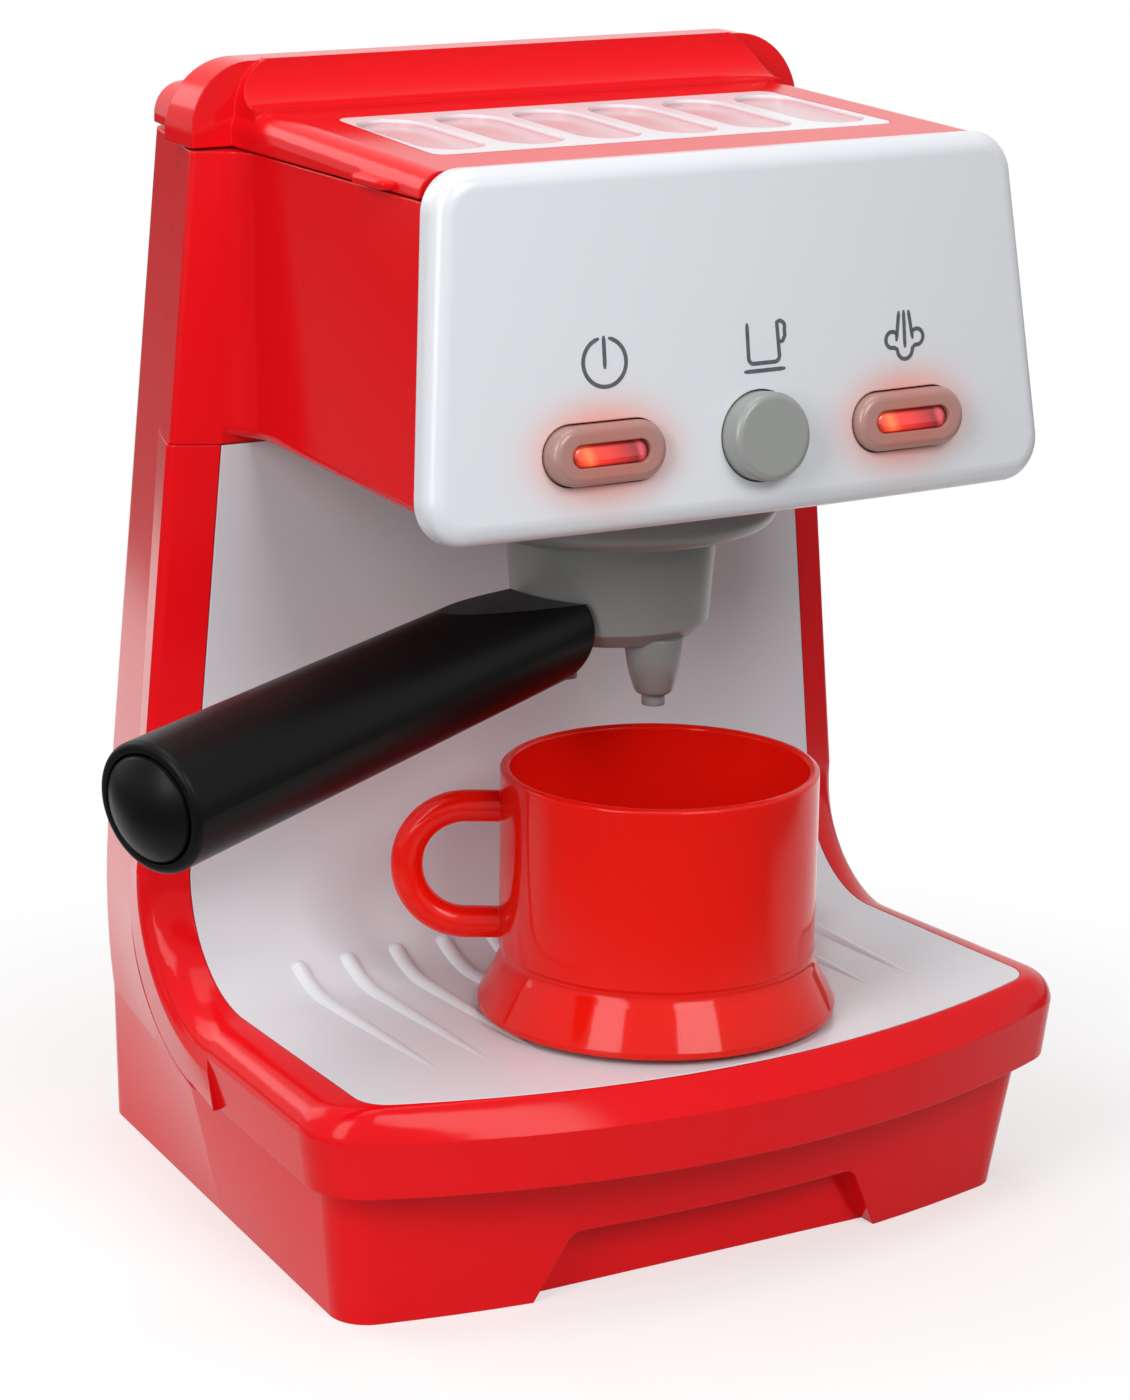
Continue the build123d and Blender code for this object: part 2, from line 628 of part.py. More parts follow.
def head_housing():
    column_low = LEDGE + FIT
    form = head_form(0, column_low, CASING_TOP)
    outer = form & box_between((-100, -100, HEAD_LOW), (100, 100, CASING_TOP + 1))
    edges = [e for e in outer.edges()
             if abs(e.center().Z - HEAD_LOW) < 0.2 and abs(e.center().X) > 55
             and e.center().Y < 5]
    outer = fillet(edges, HEAD_EDGE_R)
    outer += form & box_between((-100, PANEL_Y, column_low - 1), (100, 100, CASING_TOP + 1))
    inner = head_form(WALL, HEAD_LOW + WALL, CASING_TOP - DECK)
    shell = outer - inner
    column_way = box_between((-HEAD_HALF_REAR + 4, PANEL_Y + 6, column_low - 1),
                             (HEAD_HALF_REAR - 4, SEAM_Y + 1, HEAD_LOW + WALL + 1))
    shell -= column_way
    well_out = box_between((-WELL_HALF - DECK, WELL_FRONT_Y - DECK, WELL_FLOOR_Z - DECK),
                           (WELL_HALF + DECK, WELL_BACK_Y + DECK, CASING_TOP - DECK))
    well_in = box_between((-WELL_HALF, WELL_FRONT_Y, WELL_FLOOR_Z),
                          (WELL_HALF, WELL_BACK_Y, CASING_TOP + 1))
    well_in = fillet(well_in.edges().filter_by(Axis.Z), WELL_CORNER_R)
    posts, holes = front_bosses(CASE_SCREW_Z[1])
    for post in posts:
        shell += post
    for x in (-GROUP_SCREW_X, GROUP_SCREW_X):
        holes.append(Pos(x, GROUP_Y, HEAD_LOW - 1) * extrude(Circle(SCREW_R + FIT), WALL + 2))
    for hole in holes:
        shell -= hole
    return shell + well_out - well_in


# ---------------------------------------------------------------- fascia
def face_plane(out=0.0):
    """Plane on the fascia's back; out is measured forwards, square to it."""
    normal = Vector(0, -math.cos(math.radians(FACE_TILT)), math.sin(math.radians(FACE_TILT)))
    origin = Vector(0, face_y(BUTTON_Z), BUTTON_Z) + normal * out
    return Plane(origin=origin, x_dir=(1, 0, 0), z_dir=normal)


def face_outline(inset):
    rise = 1 / math.cos(math.radians(FACE_TILT))
    top = (FACE_TOP_Z - BUTTON_Z) * rise - inset
    low = (FACE_LOW_Z - BUTTON_Z) * rise + inset
    outline = Polyline((-FACE_HALF_LOW + inset, low), (FACE_HALF_LOW - inset, low),
                       (FACE_HALF_TOP - inset, top), (-FACE_HALF_TOP + inset, top), close=True)
    face = make_face(outline)
    return fillet(face.vertices(), FACE_CORNER_R - inset)


def bow_cutter(depth):
    """Large drum whose surface is the fascia's bowed front."""
    return Pos(0, 15, depth - FACE_BOW_R) * Rot(90, 0, 0) * Cylinder(FACE_BOW_R, 200)


def bow_depth(x):
    return FACE_DEPTH - FACE_BOW_R + math.sqrt(FACE_BOW_R ** 2 - x * x)


def stadium(long, wide):
    return SlotOverall(long, wide)


def fascia():
    outer = extrude(face_outline(0), FACE_DEPTH + 5) & bow_cutter(FACE_DEPTH)
    front = [e for e in outer.edges() if e.center().Z > 3]
    outer = fillet(front, FACE_EDGE_R)
    inner = extrude(face_outline(FACE_WALL), FACE_DEPTH + 5) & bow_cutter(FACE_DEPTH - FACE_WALL)
    shell = outer - inner
    for x, y in FACE_BOSSES:
        back = CARRIER_OUT + CARRIER_THICK + 0.05
        shell += Pos(x, y, back) * extrude(Circle(3.2), bow_depth(x) - 1 - back)
        shell -= Pos(x, y, back - 1) * extrude(Circle(SCREW_R + SHAFT_RUN), 8)
    for side in (-1, 1):
        shell -= Pos(side * BUTTON_X, 0, -1) * extrude(
            stadium(OVAL_LONG + 2 * RUN, OVAL_WIDE + 2 * RUN), 20)
    shell -= Pos(0, 0, -1) * extrude(Circle(ROUND_R + RUN), 20)
    return face_plane() * shell


FACE_BOSSES = [(x, y) for x in (-58.0, 58.0) for y in (-3.0, 38.0)]


# ---------------------------------------------------------------- lid
def lid_top(y):
    return lerp(LID_TOP_REAR, LID_TOP_FRONT, (HUMP_FRONT_Y - y) / (HUMP_FRONT_Y - FACE_TOP_Y))


def arch_face(half, low, top, corner_r, y):
    """Upright outline with rounded upper corners, in an XZ plane."""
    face = make_face(Polyline((-half, low), (half, low), (half, top), (-half, top), close=True))
    upper = [v for v in face.vertices() if v.Y > top - 1e-3]
    upright = Plane(origin=(0, y, 0), x_dir=(1, 0, 0), z_dir=(0, -1, 0))
    return upright * fillet(upper, corner_r)


def lid_front_y():
    return face_y(LID_TOP_FRONT) + LID_FRONT_GAP


def lid_half(y):
    return lerp(HEAD_HALF_FRONT_TOP, HEAD_HALF_REAR + 0.4,
                (y - FACE_TOP_Y) / (HUMP_FRONT_Y - FACE_TOP_Y))


def lid_main(inset, low):
    front, back = lid_front_y() + inset, HUMP_FRONT_Y + 6
    return loft([arch_face(lid_half(y) - inset, low, lid_top(y) - inset, LID_ROLL_R - inset, y)
                 for y in (front, back)])


def hump_sweep():
    """Concave rise from the lid's flat top into the front of the hump."""
    r = HUMP_SWEEP_R
    y, z = HUMP_FRONT_Y + 1, lid_top(HUMP_FRONT_Y)
    low = z - 2
    x = -120.0
    mid = (y - r + r * math.sin(math.radians(45)), z + r - r * math.cos(math.radians(45)))
    edges = Curve() + [
        Line((x, y + 2, low), (x, y - r, low)),
        Line((x, y - r, low), (x, y - r, z)),
        ThreePointArc((x, y - r, z), (x, *mid), (x, y, z + r)),
        Line((x, y, z + r), (x, y + 2, z + r)),
        Line((x, y + 2, z + r), (x, y + 2, low)),
    ]
    rise = extrude(make_face(edges), 240, dir=(1, 0, 0))
    ends = extrude(arch_face(HEAD_HALF_REAR - 0.6, low - 5, z + r + 1, r + 3, y + 3), -r - 6,
                   dir=(0, 1, 0))
    return rise & ends


def lid_hump(inset, low):
    front = HUMP_FRONT_Y + inset
    rear = SEAM_Y - inset
    tall = HUMP_TOP_Z - inset
    half = HUMP_HALF - inset
    foot = arch_face(half, low, tall, HUMP_CORNER_R - inset, 0)
    block = extrude(foot, 60, dir=(0, 1, 0))
    lean = side_profile([(front, low), (rear, low),
                         (rear - HUMP_LEAN * 0.6, tall + 1), (front + HUMP_LEAN, tall + 1)])
    return block & lean


def lid_cap(inset, low):
    def section(y, z):
        share = (y - SEAM_Y) / (REAR_Y_TOP - SEAM_Y)
        half = lerp(at_height(CASING_TOP, SEAM_HALF_LOW, SEAM_HALF_TOP) - 3.5,
                    REAR_HALF_TOP - 0.5, share) - inset
        return arch_face(half, low, z - inset, CAP_CORNER_R - inset, y)
    return loft([section(SEAM_Y - 4, CAP_TOP_Z), section(REAR_Y_TOP - 0.3 - inset, CAP_TOP_Z)])


def grille_outline(grow, z):
    front = GRILLE_HALF + 1.0 + grow
    back = GRILLE_HALF - 1.0 + grow
    points = [(front, GRILLE_FRONT_Y - grow), (back, GRILLE_BACK_Y + grow)]
    face = make_face(Polyline(*[(x, y, z) for x, y in mirrored(points)], close=True))
    return fillet(face.vertices(), 3.0 + grow)


def top_plane_cut(drop):
    """Everything above the lid's sloping top, lowered by drop."""
    ys = (FACE_TOP_Y - 20, HUMP_FRONT_Y + 20)
    return side_profile([(ys[0], lid_top(ys[0]) - drop), (ys[1], lid_top(ys[1]) - drop),
                         (ys[1], 300), (ys[0], 300)])


def hinge_centre():
    return rear_y(CASING_TOP) + HINGE_OUT, CASING_TOP + HINGE_DROP


def knuckle(x_low, x_high, web_low, web_high, web_front):
    """Hinge barrel with the web that carries it."""
    y, z = hinge_centre()
    barrel = rod(HINGE_R, (x_low, y, z), (x_high, y, z))
    web = box_between((x_low, web_front, web_low), (x_high, y, web_high))
    bore = rod(HINGE_PIN_R + SHAFT_RUN, (x_low - 1, y, z), (x_high + 1, y, z))
    return barrel + web - bore


def finger_tab(side):
    """Thin rounded tongue on the lid's edge, to lift it by."""
    y, z = (TAB_FRONT_Y + TAB_BACK_Y) / 2, LID_LOW + TAB_THICK / 2 + 0.2
    edge = lid_half(y)
    long = TAB_BACK_Y - TAB_FRONT_Y
    tongue = Pos(edge + TAB_OUT - long / 4, y, z) * Box(long / 2, long, TAB_THICK)
    corners = [e for e in tongue.edges().filter_by(Axis.Z) if e.center().X > edge]
    tongue = fillet(corners, TAB_OUT)
    tongue = fillet([e for e in tongue.edges() if e.center().X > edge - 1
                     and abs(e.center().Z - z) > TAB_THICK / 3], TAB_THICK * 0.35)
    tongue &= box_between((edge - LID_WALL, TAB_FRONT_Y - 1, LID_LOW),
                          (edge + 20, TAB_BACK_Y + 1, LID_LOW + 20))
    return tongue if side > 0 else mirror(tongue, about=Plane.YZ)


def lid_cover():
    low = LID_LOW
    body = lid_main(0, low) + lid_hump(0, low) + lid_cap(0, low)
    body += hump_sweep()
    hollow = (lid_main(LID_WALL, low - 1) + lid_hump(LID_WALL, low - 1)
              + lid_cap(LID_WALL, low - 1))
    shell = body - hollow
    seat = extrude(grille_outline(1.5, low + 0.8), 20) - top_plane_cut(LID_WALL / 2)
    shell += seat & body
    shell -= extrude(grille_outline(FIT, low), 30) & top_plane_cut(GRILLE_THICK)
    for side in (-1, 1):
        shell += finger_tab(side)
        shell += knuckle(side * HINGE_X - KNUCKLE / 2, side * HINGE_X + KNUCKLE / 2,
                         low + 0.2, low + 1.8, REAR_Y_TOP - 1.0)
    return shell


def cup_warmer_grille():
    plate = extrude(grille_outline(0, LID_LOW), 30) & top_plane_cut(GRILLE_THICK - 0.05)
    plate -= top_plane_cut(0)
    first = -(GRILLE_SLOTS - 1) / 2
    for i in range(GRILLE_SLOTS):
        x = (first + i) * GRILLE_SLOT_PITCH
        middle = (GRILLE_FRONT_Y + GRILLE_BACK_Y) / 2
        long = GRILLE_BACK_Y - GRILLE_FRONT_Y - 8
        slot = Pos(x, middle, LID_LOW) * Rot(0, 0, 90) * extrude(
            SlotOverall(long, GRILLE_SLOT_PITCH - 3.5), 30)
        plate -= slot & top_plane_cut(GRILLE_SLOT_DEEP)
    return plate


# ---------------------------------------------------------------- brew group
def ring_sector(r_in, r_out, centre, half):
    """Flat sector of a ring, angles in degrees."""
    reach = 2 * r_out
    a, b = math.radians(centre - half), math.radians(centre + half)
    wedge = make_face(Polyline((0, 0), (reach * math.cos(a), reach * math.sin(a)),
                               (reach * math.cos(b), reach * math.sin(b)), close=True))
    return (Circle(r_out) - Circle(r_in)) & wedge


LUG_ANGLES = (90.0, 270.0)


def group_head():
    top = HEAD_LOW - FIT
    ring = Pos(0, 0, FLANGE_LOW_Z) * extrude(Circle(FLANGE_R), top - FLANGE_LOW_Z)
    ring = fillet(ring.edges().group_by(Axis.Z)[0], 4)
    ring -= Pos(0, 0, LUG_LOW_Z - RUN) * extrude(Circle(CHAMBER_R), CHAMBER_TOP - LUG_LOW_Z + RUN)
    ring -= Pos(0, 0, FLANGE_LOW_Z - 1) * extrude(Circle(BODY_R + RUN), 8)
    for angle in LUG_ANGLES:
        gate = ring_sector(BODY_R, CHAMBER_R, angle + UNLOCK_TURN, LUG_HALF + 4)
        ring -= Pos(0, 0, FLANGE_LOW_Z - 1) * extrude(gate, LUG_LOW_Z - FLANGE_LOW_Z + 1)
    for x in (-GROUP_SCREW_X, GROUP_SCREW_X):
        ring -= Pos(x, 0, top - 8) * extrude(Circle(SCREW_R + SHAFT_RUN), 9)
    return Pos(0, GROUP_Y, 0) * ring


def handle_direction():
    turn = math.radians(180 + HANDLE_ANGLE)
    droop = math.radians(-HANDLE_DROOP)
    return Vector(math.cos(turn) * math.cos(droop), math.sin(turn) * math.cos(droop),
                  math.sin(droop))


def handle_point(along):
    return Vector(0, GROUP_Y, HANDLE_AXIS_Z) + handle_direction() * along


def handle_plane(along):
    side = Vector(0, 0, 1).cross(handle_direction())
    return Plane(origin=handle_point(along), x_dir=side, z_dir=handle_direction())


def spout(side):
    """Small bell under the bowl with a short nozzle."""
    flat = Vector(math.sin(math.radians(SPOUT_TURN)), -math.cos(math.radians(SPOUT_TURN)), 0)
    x, y = flat.X * SPOUT_X * side, GROUP_Y + flat.Y * SPOUT_X * side
    top = BODY_LOW_Z - SPOUT_TIP_Z + 1
    neck = SPOUT_NOZZLE_R + 0.5
    shoulder = (SPOUT_SHOULDER_R, SPOUT_SHOULDER_HIGH)
    edges = Curve() + [
        Line((0, 0), (0, top)),
        Line((0, top), (SPOUT_R, top)),
        Spline((SPOUT_R, top), shoulder, tangents=[(0, -1), (-0.34, -1)]),
        Spline(shoulder, (neck, SPOUT_NOZZLE_HIGH), tangents=[(-0.34, -1), (-1, -0.15)]),
        Line((neck, SPOUT_NOZZLE_HIGH), (SPOUT_NOZZLE_R, SPOUT_NOZZLE_HIGH - 0.1)),
        Line((SPOUT_NOZZLE_R, SPOUT_NOZZLE_HIGH - 0.1), (SPOUT_NOZZLE_R, 0)),
        Line((SPOUT_NOZZLE_R, 0), (0, 0)),
    ]
    return Pos(x, y, SPOUT_TIP_Z) * revolve(make_face(Plane.XZ * edges), Axis.Z)


def portafilter_body():
    profile = Polyline((0, BODY_LOW_Z), (BODY_LOW_R - 3.0, BODY_LOW_Z),
                       (BODY_LOW_R, BODY_LOW_Z + 3.0), (BODY_R, FLANGE_LOW_Z),
                       (BODY_R, BODY_TOP_Z), (BODY_R - BODY_WALL, BODY_TOP_Z),
                       (BODY_LOW_R - BODY_WALL, BODY_LOW_Z + BODY_WALL + 1.5),
                       (0, BODY_LOW_Z + BODY_WALL), close=True)
    bowl = Pos(0, GROUP_Y, 0) * revolve(make_face(Plane.XZ * profile), Axis.Z)
    tenon = HANDLE_START + SOCKET_IN - BODY_LOW_R + 3
    socket = handle_plane(BODY_LOW_R - 3) * extrude(Circle(SOCKET_R), tenon)
    cavity = Pos(0, GROUP_Y, BODY_LOW_Z + 5) * extrude(Circle(BODY_LOW_R - BODY_WALL - 0.2), 40)
    body = bowl + (socket - cavity) + spout(1) + spout(-1)
    for angle in LUG_ANGLES:
        lug = ring_sector(BODY_R - 1, LUG_R, angle, LUG_HALF)
        body += Pos(0, GROUP_Y, LUG_LOW_Z) * extrude(lug, LUG_HIGH)
    return body - handle_plane(BODY_LOW_R) * extrude(Circle(SCREW_R + SHAFT_RUN), 40)


def portafilter_handle():
    length = HANDLE_END - HANDLE_START
    grip = handle_plane(HANDLE_START + length / 2) * Cone(HANDLE_R_ROOT, HANDLE_R_END, length)
    root = handle_plane(BODY_R - 4) * extrude(Circle(HANDLE_R_ROOT), HANDLE_START - BODY_R + 4.5)
    grip += root
    grip -= Pos(0, GROUP_Y, 100) * extrude(Circle(BODY_R + RUN), 80)
    rim = [e for e in grip.edges().filter_by(GeomType.CIRCLE)
           if (e.arc_center - handle_point(HANDLE_END)).length < 0.5]
    grip = fillet(rim, (HANDLE_R_END - END_CAP_R) / 2)
    facet = handle_plane(BODY_R + RUN) * Pos(0, HANDLE_R_ROOT - FLAT_DEEP, 0) * Rot(
        -FLAT_LEAN, 0, 0) * Pos(0, 5, 12) * Box(40, 10, 44)
    grip -= facet
    tenon = HANDLE_START + SOCKET_IN - BODY_LOW_R + 3 + RUN
    grip -= handle_plane(BODY_LOW_R - 3) * extrude(Circle(SOCKET_R + FIT), tenon)
    bore = handle_plane(HANDLE_START) * extrude(Circle(SCREW_R + FIT), length)
    end_well = handle_plane(HANDLE_START + HANDLE_SEAT) * extrude(Circle(END_CAP_R - 2.5), length)
    groove = handle_plane(HANDLE_END - 1.6) * (
        extrude(Circle(END_CAP_R + 0.5) - Circle(END_CAP_R - 0.1), 3))
    return grip - bore - end_well - groove


def handle_end_cap():
    dome_r = (END_CAP_R ** 2 + END_CAP_RISE ** 2) / (2 * END_CAP_RISE)
    ball = handle_plane(HANDLE_END + FIT + END_CAP_RISE - dome_r) * Sphere(dome_r)
    disc = handle_plane(HANDLE_END + FIT) * extrude(Circle(END_CAP_R), 2 * END_CAP_RISE)
    plug = handle_plane(HANDLE_END - 5) * extrude(Circle(END_CAP_R - 2.5 - FIT), 5.2 + FIT)
    return (disc & ball) + plug


# ---------------------------------------------------------------- cup
def cup():
    base, foot_top = CUP_BASE_Z, CUP_BASE_Z + CUP_FOOT_HIGH
    t = CUP_WALL
    neck = CUP_R - CUP_GROOVE
    edges = Curve() + [
        Line((CUP_FOOT_R - t, base), (CUP_FOOT_R, base)),
        Line((CUP_FOOT_R, base), (CUP_FOOT_R, base + 1.2)),
        Line((CUP_FOOT_R, base + 1.2), (neck + 1.0, foot_top - 2.2)),
        Spline((neck + 1.0, foot_top - 2.2), (neck, foot_top), tangents=[(-0.45, 0.89), (0, 1)]),
        Line((neck, foot_top), (neck, foot_top + 0.5)),
        Line((neck, foot_top + 0.5), (CUP_R, foot_top + 1.3)),
        Line((CUP_R, foot_top + 1.3), (CUP_R, CUP_RIM_Z - 0.6)),
        ThreePointArc((CUP_R, CUP_RIM_Z - 0.6), (CUP_R - t / 2, CUP_RIM_Z),
                      (CUP_R - t, CUP_RIM_Z - 0.6)),
        Line((CUP_R - t, CUP_RIM_Z - 0.6), (CUP_R - t - 0.4, foot_top + 4)),
        ThreePointArc((CUP_R - t - 0.4, foot_top + 4), (CUP_R - t - 1.5, foot_top + 1.1),
                      (CUP_R - t - 4.4, foot_top)),
        Line((CUP_R - t - 4.4, foot_top), (0, foot_top)),
        Line((0, foot_top), (0, foot_top - t)),
        Line((0, foot_top - t), (neck - t - 1.5, foot_top - t)),
        Spline((neck - t - 1.5, foot_top - t), (CUP_FOOT_R - t, base),
               tangents=[(0.2, -1), (0.75, -0.66)]),
    ]
    face = make_face(Plane.XZ * edges)
    body = revolve(face, Axis.Z)
    wire = FilletPolyline(*[(x, 0, z) for x, z in CUP_HANDLE_POINTS], radius=CUP_HANDLE_BENDS)
    profile = Plane(origin=wire @ 0, z_dir=wire % 0) * Circle(CUP_HANDLE_W / 2)
    loop = sweep(profile, path=wire)
    inside = Pos(0, 0, base - 1) * extrude(Circle(CUP_R - t / 2), 60)
    return Pos(0, CUP_Y, 0) * Rot(0, 0, CUP_HANDLE_TURN) * (body + (loop - inside))


CUP_HANDLE_POINTS = [(CUP_R - 2, 90.6), (CUP_R + 18.6, 90.6), (CUP_R + 18.6, 66.2),
                     (CUP_R - 2, 66.2)]
CUP_HANDLE_BENDS = [12.0, 12.0]


# ---------------------------------------------------------------- buttons
def button_stem(flange_low, reach):
    return Pos(0, 0, reach) * extrude(Circle(STEM_R), flange_low - reach)


FLANGE_OUT = 3.6          # front-to-back place of the oval buttons' flanges
ROUND_FLANGE_OUT = 5.7
CARRIER_OUT = -5.5
CARRIER_THICK = 2.0
BOARD_OUT = -14.6
BOARD_THICK = 1.6
PLUNGER_OUT = -8.2
STEM_GAP = 0.15


def oval_button(side):
    top = bow_depth(BUTTON_X) + OVAL_STAND
    body = Pos(0, 0, FLANGE_OUT) * extrude(stadium(OVAL_LONG, OVAL_WIDE), top - FLANGE_OUT)
    body = fillet(body.edges().group_by(Axis.Z)[-1], 1.6)
    flange = Pos(0, 0, FLANGE_OUT) * extrude(stadium(OVAL_LONG + 3.5, OVAL_WIDE + 3.5),
                                             BUTTON_FLANGE)
    stem = button_stem(FLANGE_OUT, PLUNGER_OUT + BUTTON_TRAVEL + STEM_GAP)
    window = Pos(0, 0, FLANGE_OUT + 3) * extrude(stadium(LENS_LONG + 2 * FIT, LENS_WIDE + 2 * FIT),
                                                 20)
    return face_plane() * Pos(side * BUTTON_X, 0, 0) * (body + flange + stem - window)


def button_lens(side):
    top = bow_depth(BUTTON_X) + OVAL_STAND - 0.3
    lens = Pos(0, 0, FLANGE_OUT + 3 + FIT) * extrude(stadium(LENS_LONG, LENS_WIDE),
                                                     top - FLANGE_OUT - 3 - FIT)
    lens = fillet(lens.edges().group_by(Axis.Z)[-1], 1.2)
    return face_plane() * Pos(side * BUTTON_X, 0, 0) * lens


def round_button():
    top = bow_depth(0) + ROUND_STAND
    body = Pos(0, 0, ROUND_FLANGE_OUT) * extrude(Circle(ROUND_R), top - ROUND_FLANGE_OUT)
    body = fillet(body.edges().group_by(Axis.Z)[-1], 1.4)
    flange = Pos(0, 0, ROUND_FLANGE_OUT) * extrude(Circle(ROUND_R + 1.8), BUTTON_FLANGE)
    stem = button_stem(ROUND_FLANGE_OUT, PLUNGER_OUT + BUTTON_TRAVEL + STEM_GAP)
    return face_plane() * (body + flange + stem)



# ---------------------------------------------------------------- behind the fascia
SWITCH = 6.0              # side of a tact switch
SWITCH_HIGH = 3.5
PLUNGER_R = 1.7
BOARD_HALF = 50.0
BOARD_LOW = -5.0
BOARD_HIGH = 20.0
CARRIER_HALF = 62.0
CARRIER_LOW = -5.9
CARRIER_HIGH = 42.0
LED_R = 2.5
LED_OFFSET = 7.2          # lamp beside the stem, under the lens
SCREW_R = 1.4
SCREW_HEAD_R = 2.8
SCREW_HEAD = 1.9


def screw(plane, length):
    """Pan-head screw: the head stands on the plane, the shank goes into it."""
    head = extrude(Circle(SCREW_HEAD_R), SCREW_HEAD)
    head = fillet(head.edges().group_by(Axis.Z)[-1], 0.8)
    head -= Pos(0, 0, SCREW_HEAD - 0.9) * (Box(3.2, 0.7, 2) + Box(0.7, 3.2, 2))
    shank = Pos(0, 0, -length) * extrude(Circle(SCREW_R), length)
    return plane * (head + shank)


def button_places():
    return [(-BUTTON_X, FLANGE_OUT), (0.0, ROUND_FLANGE_OUT), (BUTTON_X, FLANGE_OUT)]


def lamp_places():
    return [-BUTTON_X + LED_OFFSET, BUTTON_X - LED_OFFSET]


def button_carrier():
    """Plate behind the fascia that guides the stems and carries the board."""
    low, high = CARRIER_LOW, CARRIER_HIGH
    plate = Pos(0, (low + high) / 2, CARRIER_OUT) * extrude(
        RectangleRounded(2 * CARRIER_HALF, high - low, 3), CARRIER_THICK)
    window = Pos(0, 27, CARRIER_OUT - 1) * extrude(RectangleRounded(96, 20, 3), 5)
    plate -= window
    for x, _ in button_places():
        plate -= Pos(x, 0, CARRIER_OUT - 1) * extrude(Circle(STEM_R + RUN), 5)
    for x in lamp_places():
        plate -= Pos(x, 0, CARRIER_OUT - 1) * extrude(Circle(LED_R + 0.3), 5)
    for x, y in FACE_BOSSES:
        plate -= Pos(x, y, CARRIER_OUT - 1) * extrude(Circle(SCREW_R + 0.1), 5)
    for x, y in BOARD_POSTS:
        back = BOARD_OUT + BOARD_THICK
        plate += Pos(x, y, back) * extrude(Circle(3.0), CARRIER_OUT - back)
        plate -= Pos(x, y, back - 1) * extrude(Circle(SCREW_R + SHAFT_RUN), 8)
    return face_plane() * plate


BOARD_POSTS = [(-46.0, 9.0), (46.0, 9.0)]


def circuit_board():
    board = Pos(0, (BOARD_LOW + BOARD_HIGH) / 2, BOARD_OUT) * extrude(
        RectangleRounded(2 * BOARD_HALF, BOARD_HIGH - BOARD_LOW, 2), BOARD_THICK)
    for x, y in BOARD_POSTS:
        board -= Pos(x, y, BOARD_OUT - 1) * extrude(Circle(SCREW_R + 0.1), 4)
    return face_plane() * board


def board_screws():
    return Compound(children=[screw(face_plane() * Pos(x, y, BOARD_OUT) * Rot(180, 0, 0), 6.5)
                              for x, y in BOARD_POSTS])


def carrier_screws():
    return Compound(children=[screw(face_plane() * Pos(x, y, CARRIER_OUT) * Rot(180, 0, 0), 8.5)
                              for x, y in FACE_BOSSES])


def tact_switches():
    base = BOARD_OUT + BOARD_THICK
    solids = []
    for x, _ in button_places():
        case = Pos(0, 0, base) * extrude(Rectangle(SWITCH, SWITCH), SWITCH_HIGH)
        plunger = Pos(0, 0, base + SWITCH_HIGH) * extrude(
            Circle(PLUNGER_R), PLUNGER_OUT - base - SWITCH_HIGH)
        solids.append(face_plane() * Pos(x, 0, 0) * (case + plunger))
    return Compound(children=solids)


def button_lamps():
    base = BOARD_OUT + BOARD_THICK
    solids = []
    for x in lamp_places():
        bulb = Pos(0, 0, base + 4) * extrude(Circle(LED_R), 7.5)
        bulb = fillet(bulb.edges().group_by(Axis.Z)[-1], 2.2)
        legs = [Pos(dx, 0, base) * extrude(Rectangle(0.6, 0.6), 4.2) for dx in (-1.27, 1.27)]
        solids.append(face_plane() * Pos(x, 0, 0) * (bulb + legs[0] + legs[1]))
    return Compound(children=solids)


def sound_chip():
    chip = Pos(-16, 4, BOARD_OUT - 2.2) * extrude(RectangleRounded(12, 10, 1), 2.2)
    return face_plane() * chip


def button_spring(x, flange_out):
    """Coil between the button's flange and the carrier."""
    wire_r, coil_r, gap = 0.35, 3.7, 0.1
    low = CARRIER_OUT + CARRIER_THICK + wire_r + gap
    high = flange_out - wire_r - gap
    turns = 4
    path = Helix((high - low) / turns, high - low, coil_r)
    coil = sweep(Plane(origin=path @ 0, z_dir=path % 0) * Circle(wire_r), path=path)
    return face_plane() * Pos(x, 0, low) * coil


# ---------------------------------------------------------------- battery box and speaker
CELL_R = 7.1
CELL_LONG = 50.0
CELL_PITCH = 15.0
CELL_COUNT = 3
BOX_Y = 6.0
BOX_WALL = 1.5
BOX_LOW = 2.5
CONTACT_ROOM = 3.0
DOOR_THICK = 1.9
DOOR_RAISE = 0.4
DOOR_SINK = 1.0
EAR_LONG = 12.5
EAR_WIDE = 16.0


def box_half():
    return CELL_LONG / 2 + CONTACT_ROOM, CELL_COUNT * CELL_PITCH / 2 + 0.4


def cell_z():
    return BOX_LOW + 1.0 + CELL_R


def battery_box():
    hx, hy = box_half()
    top = cell_z() + CELL_R + 0.5
    outer = box_between((-hx - BOX_WALL, BOX_Y - hy - BOX_WALL, WALL),
                        (hx + BOX_WALL, BOX_Y + hy + BOX_WALL, top + BOX_WALL))
    inner = box_between((-hx, BOX_Y - hy, WALL - 1), (hx, BOX_Y + hy, top))
    return outer - inner


def batteries():
    solids = []
    for i in range(CELL_COUNT):
        y = BOX_Y + (i - (CELL_COUNT - 1) / 2) * CELL_PITCH
        side = 1 if i % 2 else -1
        body = rod(CELL_R, (-CELL_LONG / 2 + 0.8, y, cell_z()), (CELL_LONG / 2 - 0.8, y, cell_z()))
        tip = side * CELL_LONG / 2
        body += rod(2.7, (tip - side * 2, y, cell_z()), (tip, y, cell_z()))
        solids.append(body)
    return Compound(children=solids)


